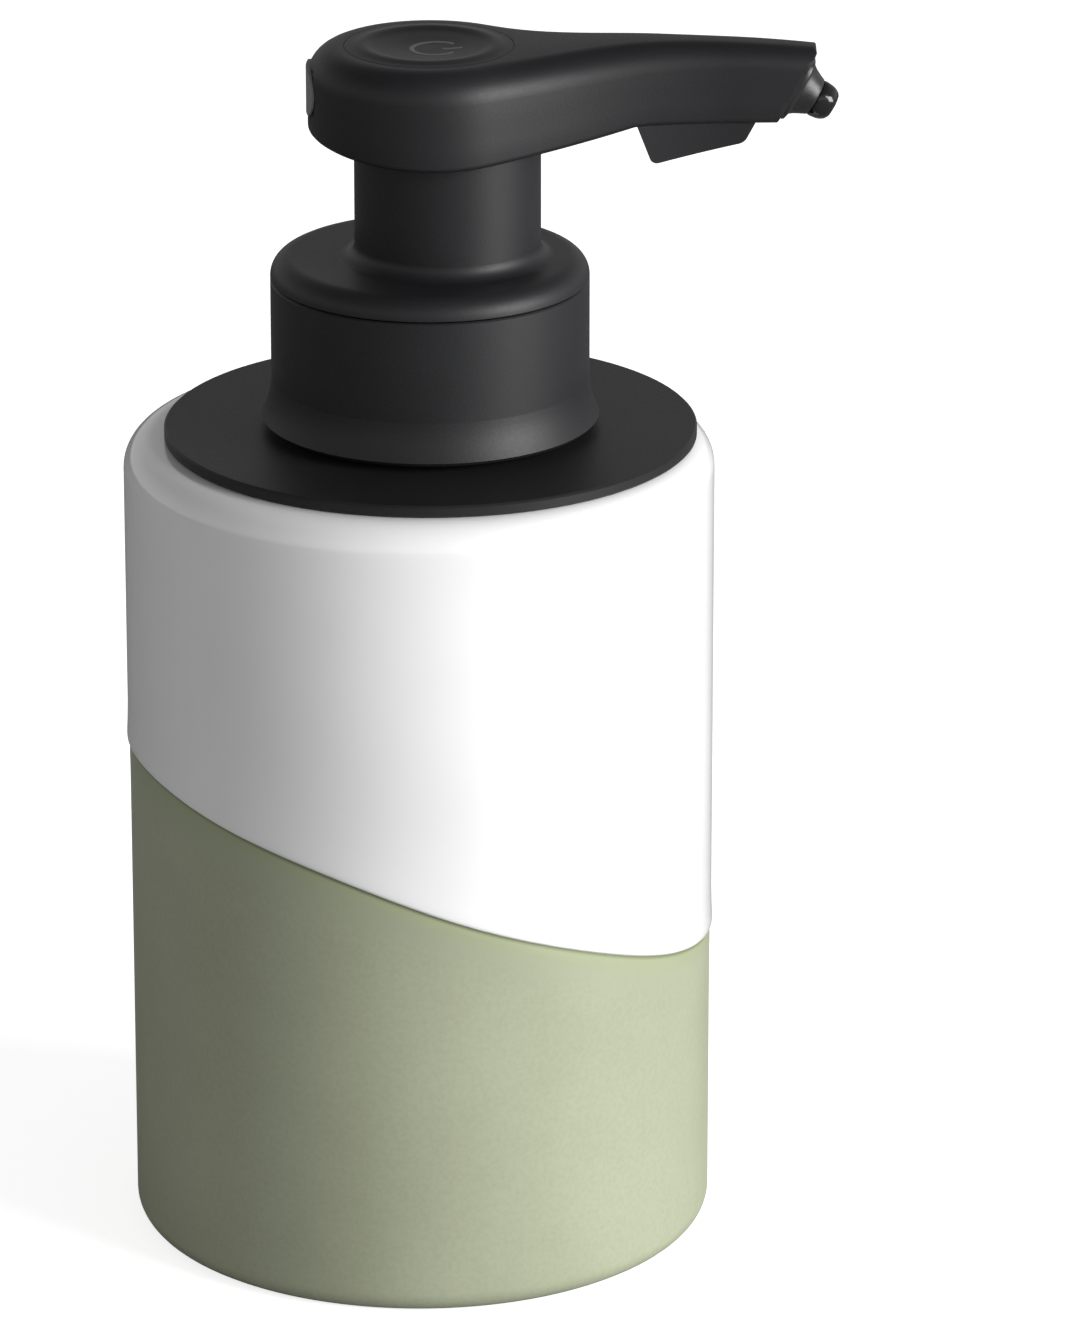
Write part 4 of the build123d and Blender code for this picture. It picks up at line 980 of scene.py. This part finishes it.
def build_mark():
    """The inlaid power symbol: an open ring and a bar that points along the spout, on the dish."""
    points, faces = [], []
    sides = len(MARK_SECTION)

    def strip(path):
        """A bar with rounded ends on a path of (point, across) pairs, just proud of the dish."""
        start = len(points)
        for k, (p, side) in enumerate(path):
            width = MARK_LINE / 2 * (0.55 if k in (0, len(path) - 1) else 1)
            for share, rise in MARK_SECTION:
                q = p + side * (width * share)
                z = dish_height(math.hypot(q.x + MARK_X, q.y)) + rise * MM
                points.append(Vector((q.x + MARK_X + PUMP_X, q.y, z)))
        rows = len(path)
        for k in range(rows - 1):
            for c in range(sides):
                d = (c + 1) % sides
                a, b = start + k * sides, start + (k + 1) * sides
                faces.append((a + c, b + c, b + d, a + d))
        faces.append(tuple(start + c for c in range(sides)))
        faces.append(tuple(start + (rows - 1) * sides + c for c in reversed(range(sides))))

    sweep = 360 - 2 * MARK_GAP
    turns = [math.radians(MARK_GAP + sweep * i / RING_STEPS) for i in range(RING_STEPS + 1)]
    ring = [(math.cos(t), math.sin(t)) for t in turns]
    strip([(Vector((MARK_R * x, MARK_R * y)), Vector((x, y))) for x, y in ring])
    start, stop = MARK_BAR
    bar = [start + (stop - start) * i / BAR_STEPS for i in range(BAR_STEPS + 1)]
    strip([(Vector((x * MM, 0)), Vector((0, 1))) for x in bar])
    mark = add_mesh("power_mark_inlay", points, faces, sharp_degrees=60)
    place(mark, "power_button", "power_mark", "mark_grey", MARK)


# ---- Studio ----
def build_studio():
    """A pale floor, one large softbox on the right, and a weak surround that shows as white."""
    half = FLOOR_HALF
    corners = [(-half, -half, 0), (half, -half, 0), (half, half, 0), (-half, half, 0)]
    floor = add_mesh("floor", corners, [(0, 1, 2, 3)])
    paint(floor, floor_paint())
    build_key_light()
    build_surround()
    bpy.context.scene.view_settings.view_transform = "Standard"


def build_key_light():
    """The softbox: KEY_TURN degrees to the right of the camera, aimed at the dispenser."""
    light = bpy.data.lights.new("key", "AREA")
    light.shape = "RECTANGLE"
    light.size, light.size_y = KEY_SIZE
    light.energy = KEY_POWER
    key = bpy.data.objects.new("key", light)
    a = math.radians(VIEW_AZIMUTH + KEY_TURN)
    key.location = (KEY_DISTANCE * math.sin(a), -KEY_DISTANCE * math.cos(a), KEY_HEIGHT)
    aim = Vector((0, 0, KEY_AIM_HEIGHT)) - key.location
    key.rotation_mode = "QUATERNION"
    key.rotation_quaternion = aim.to_track_quat("-Z", "Y")
    bpy.context.scene.collection.objects.link(key)


def build_surround():
    """A surround that lights from low down more than from overhead, and shows as white."""
    world = bpy.data.worlds.new("studio_world")
    bpy.context.scene.world = world
    world.use_nodes = True
    tree = world.node_tree
    surround = tree.nodes["Background"]
    surround.inputs["Strength"].default_value = SURROUND_STRENGTH
    coords = tree.nodes.new("ShaderNodeTexCoord")
    parts = tree.nodes.new("ShaderNodeSeparateXYZ")
    tree.links.new(coords.outputs["Generated"], parts.inputs["Vector"])
    dome = ramp(tree, parts.outputs["Z"], (1, 1, 1), (0.14, 0.14, 0.15), start=0.25, stop=0.7)
    front = tree.nodes.new("ShaderNodeMapRange")
    front.inputs["From Min"].default_value = -1.0
    front.inputs["To Min"].default_value = 1.2
    front.inputs["To Max"].default_value = 0.85
    tree.links.new(parts.outputs["Y"], front.inputs["Value"])
    level = tree.nodes.new("ShaderNodeVectorMath")
    level.operation = "SCALE"
    tree.links.new(dome, level.inputs["Vector"])
    tree.links.new(front.outputs["Result"], level.inputs["Scale"])
    tree.links.new(level.outputs["Vector"], surround.inputs["Color"])
    seen = tree.nodes.new("ShaderNodeBackground")
    seen.inputs["Color"].default_value = (1, 1, 1, 1)
    seen.inputs["Strength"].default_value = 1.0
    rays = tree.nodes.new("ShaderNodeLightPath")
    mix = tree.nodes.new("ShaderNodeMixShader")
    tree.links.new(rays.outputs["Is Camera Ray"], mix.inputs["Fac"])
    tree.links.new(surround.outputs["Background"], mix.inputs[1])
    tree.links.new(seen.outputs["Background"], mix.inputs[2])
    tree.links.new(mix.outputs["Shader"], tree.nodes["World Output"].inputs["Surface"])


def build_camera():
    """The photograph's viewing angle: a long lens a metre away, looking down a little."""
    lens = bpy.data.cameras.new("camera")
    lens.lens = LENS
    camera = bpy.data.objects.new("camera", lens)
    a, e = math.radians(VIEW_AZIMUTH), math.radians(VIEW_ELEVATION)
    back = Vector((math.sin(a) * math.cos(e), -math.cos(a) * math.cos(e), math.sin(e)))
    right = Vector((math.cos(a), math.sin(a), 0))
    aim = right * AIM_RIGHT + Vector((0, 0, AIM_HEIGHT))
    camera.location = aim + back * VIEW_DISTANCE
    camera.rotation_mode = "QUATERNION"
    camera.rotation_quaternion = (-back).to_track_quat("-Z", "Y")
    bpy.context.scene.collection.objects.link(camera)
    bpy.context.scene.camera = camera


# ---- The whole scene ----
for node_name, node_material in NODE_MATERIALS.items():
    paint(nodes[node_name], node_material)
build_bottle()
build_head()
build_button()
build_mark()
build_nozzle()
build_tip()
build_studio()
build_camera()
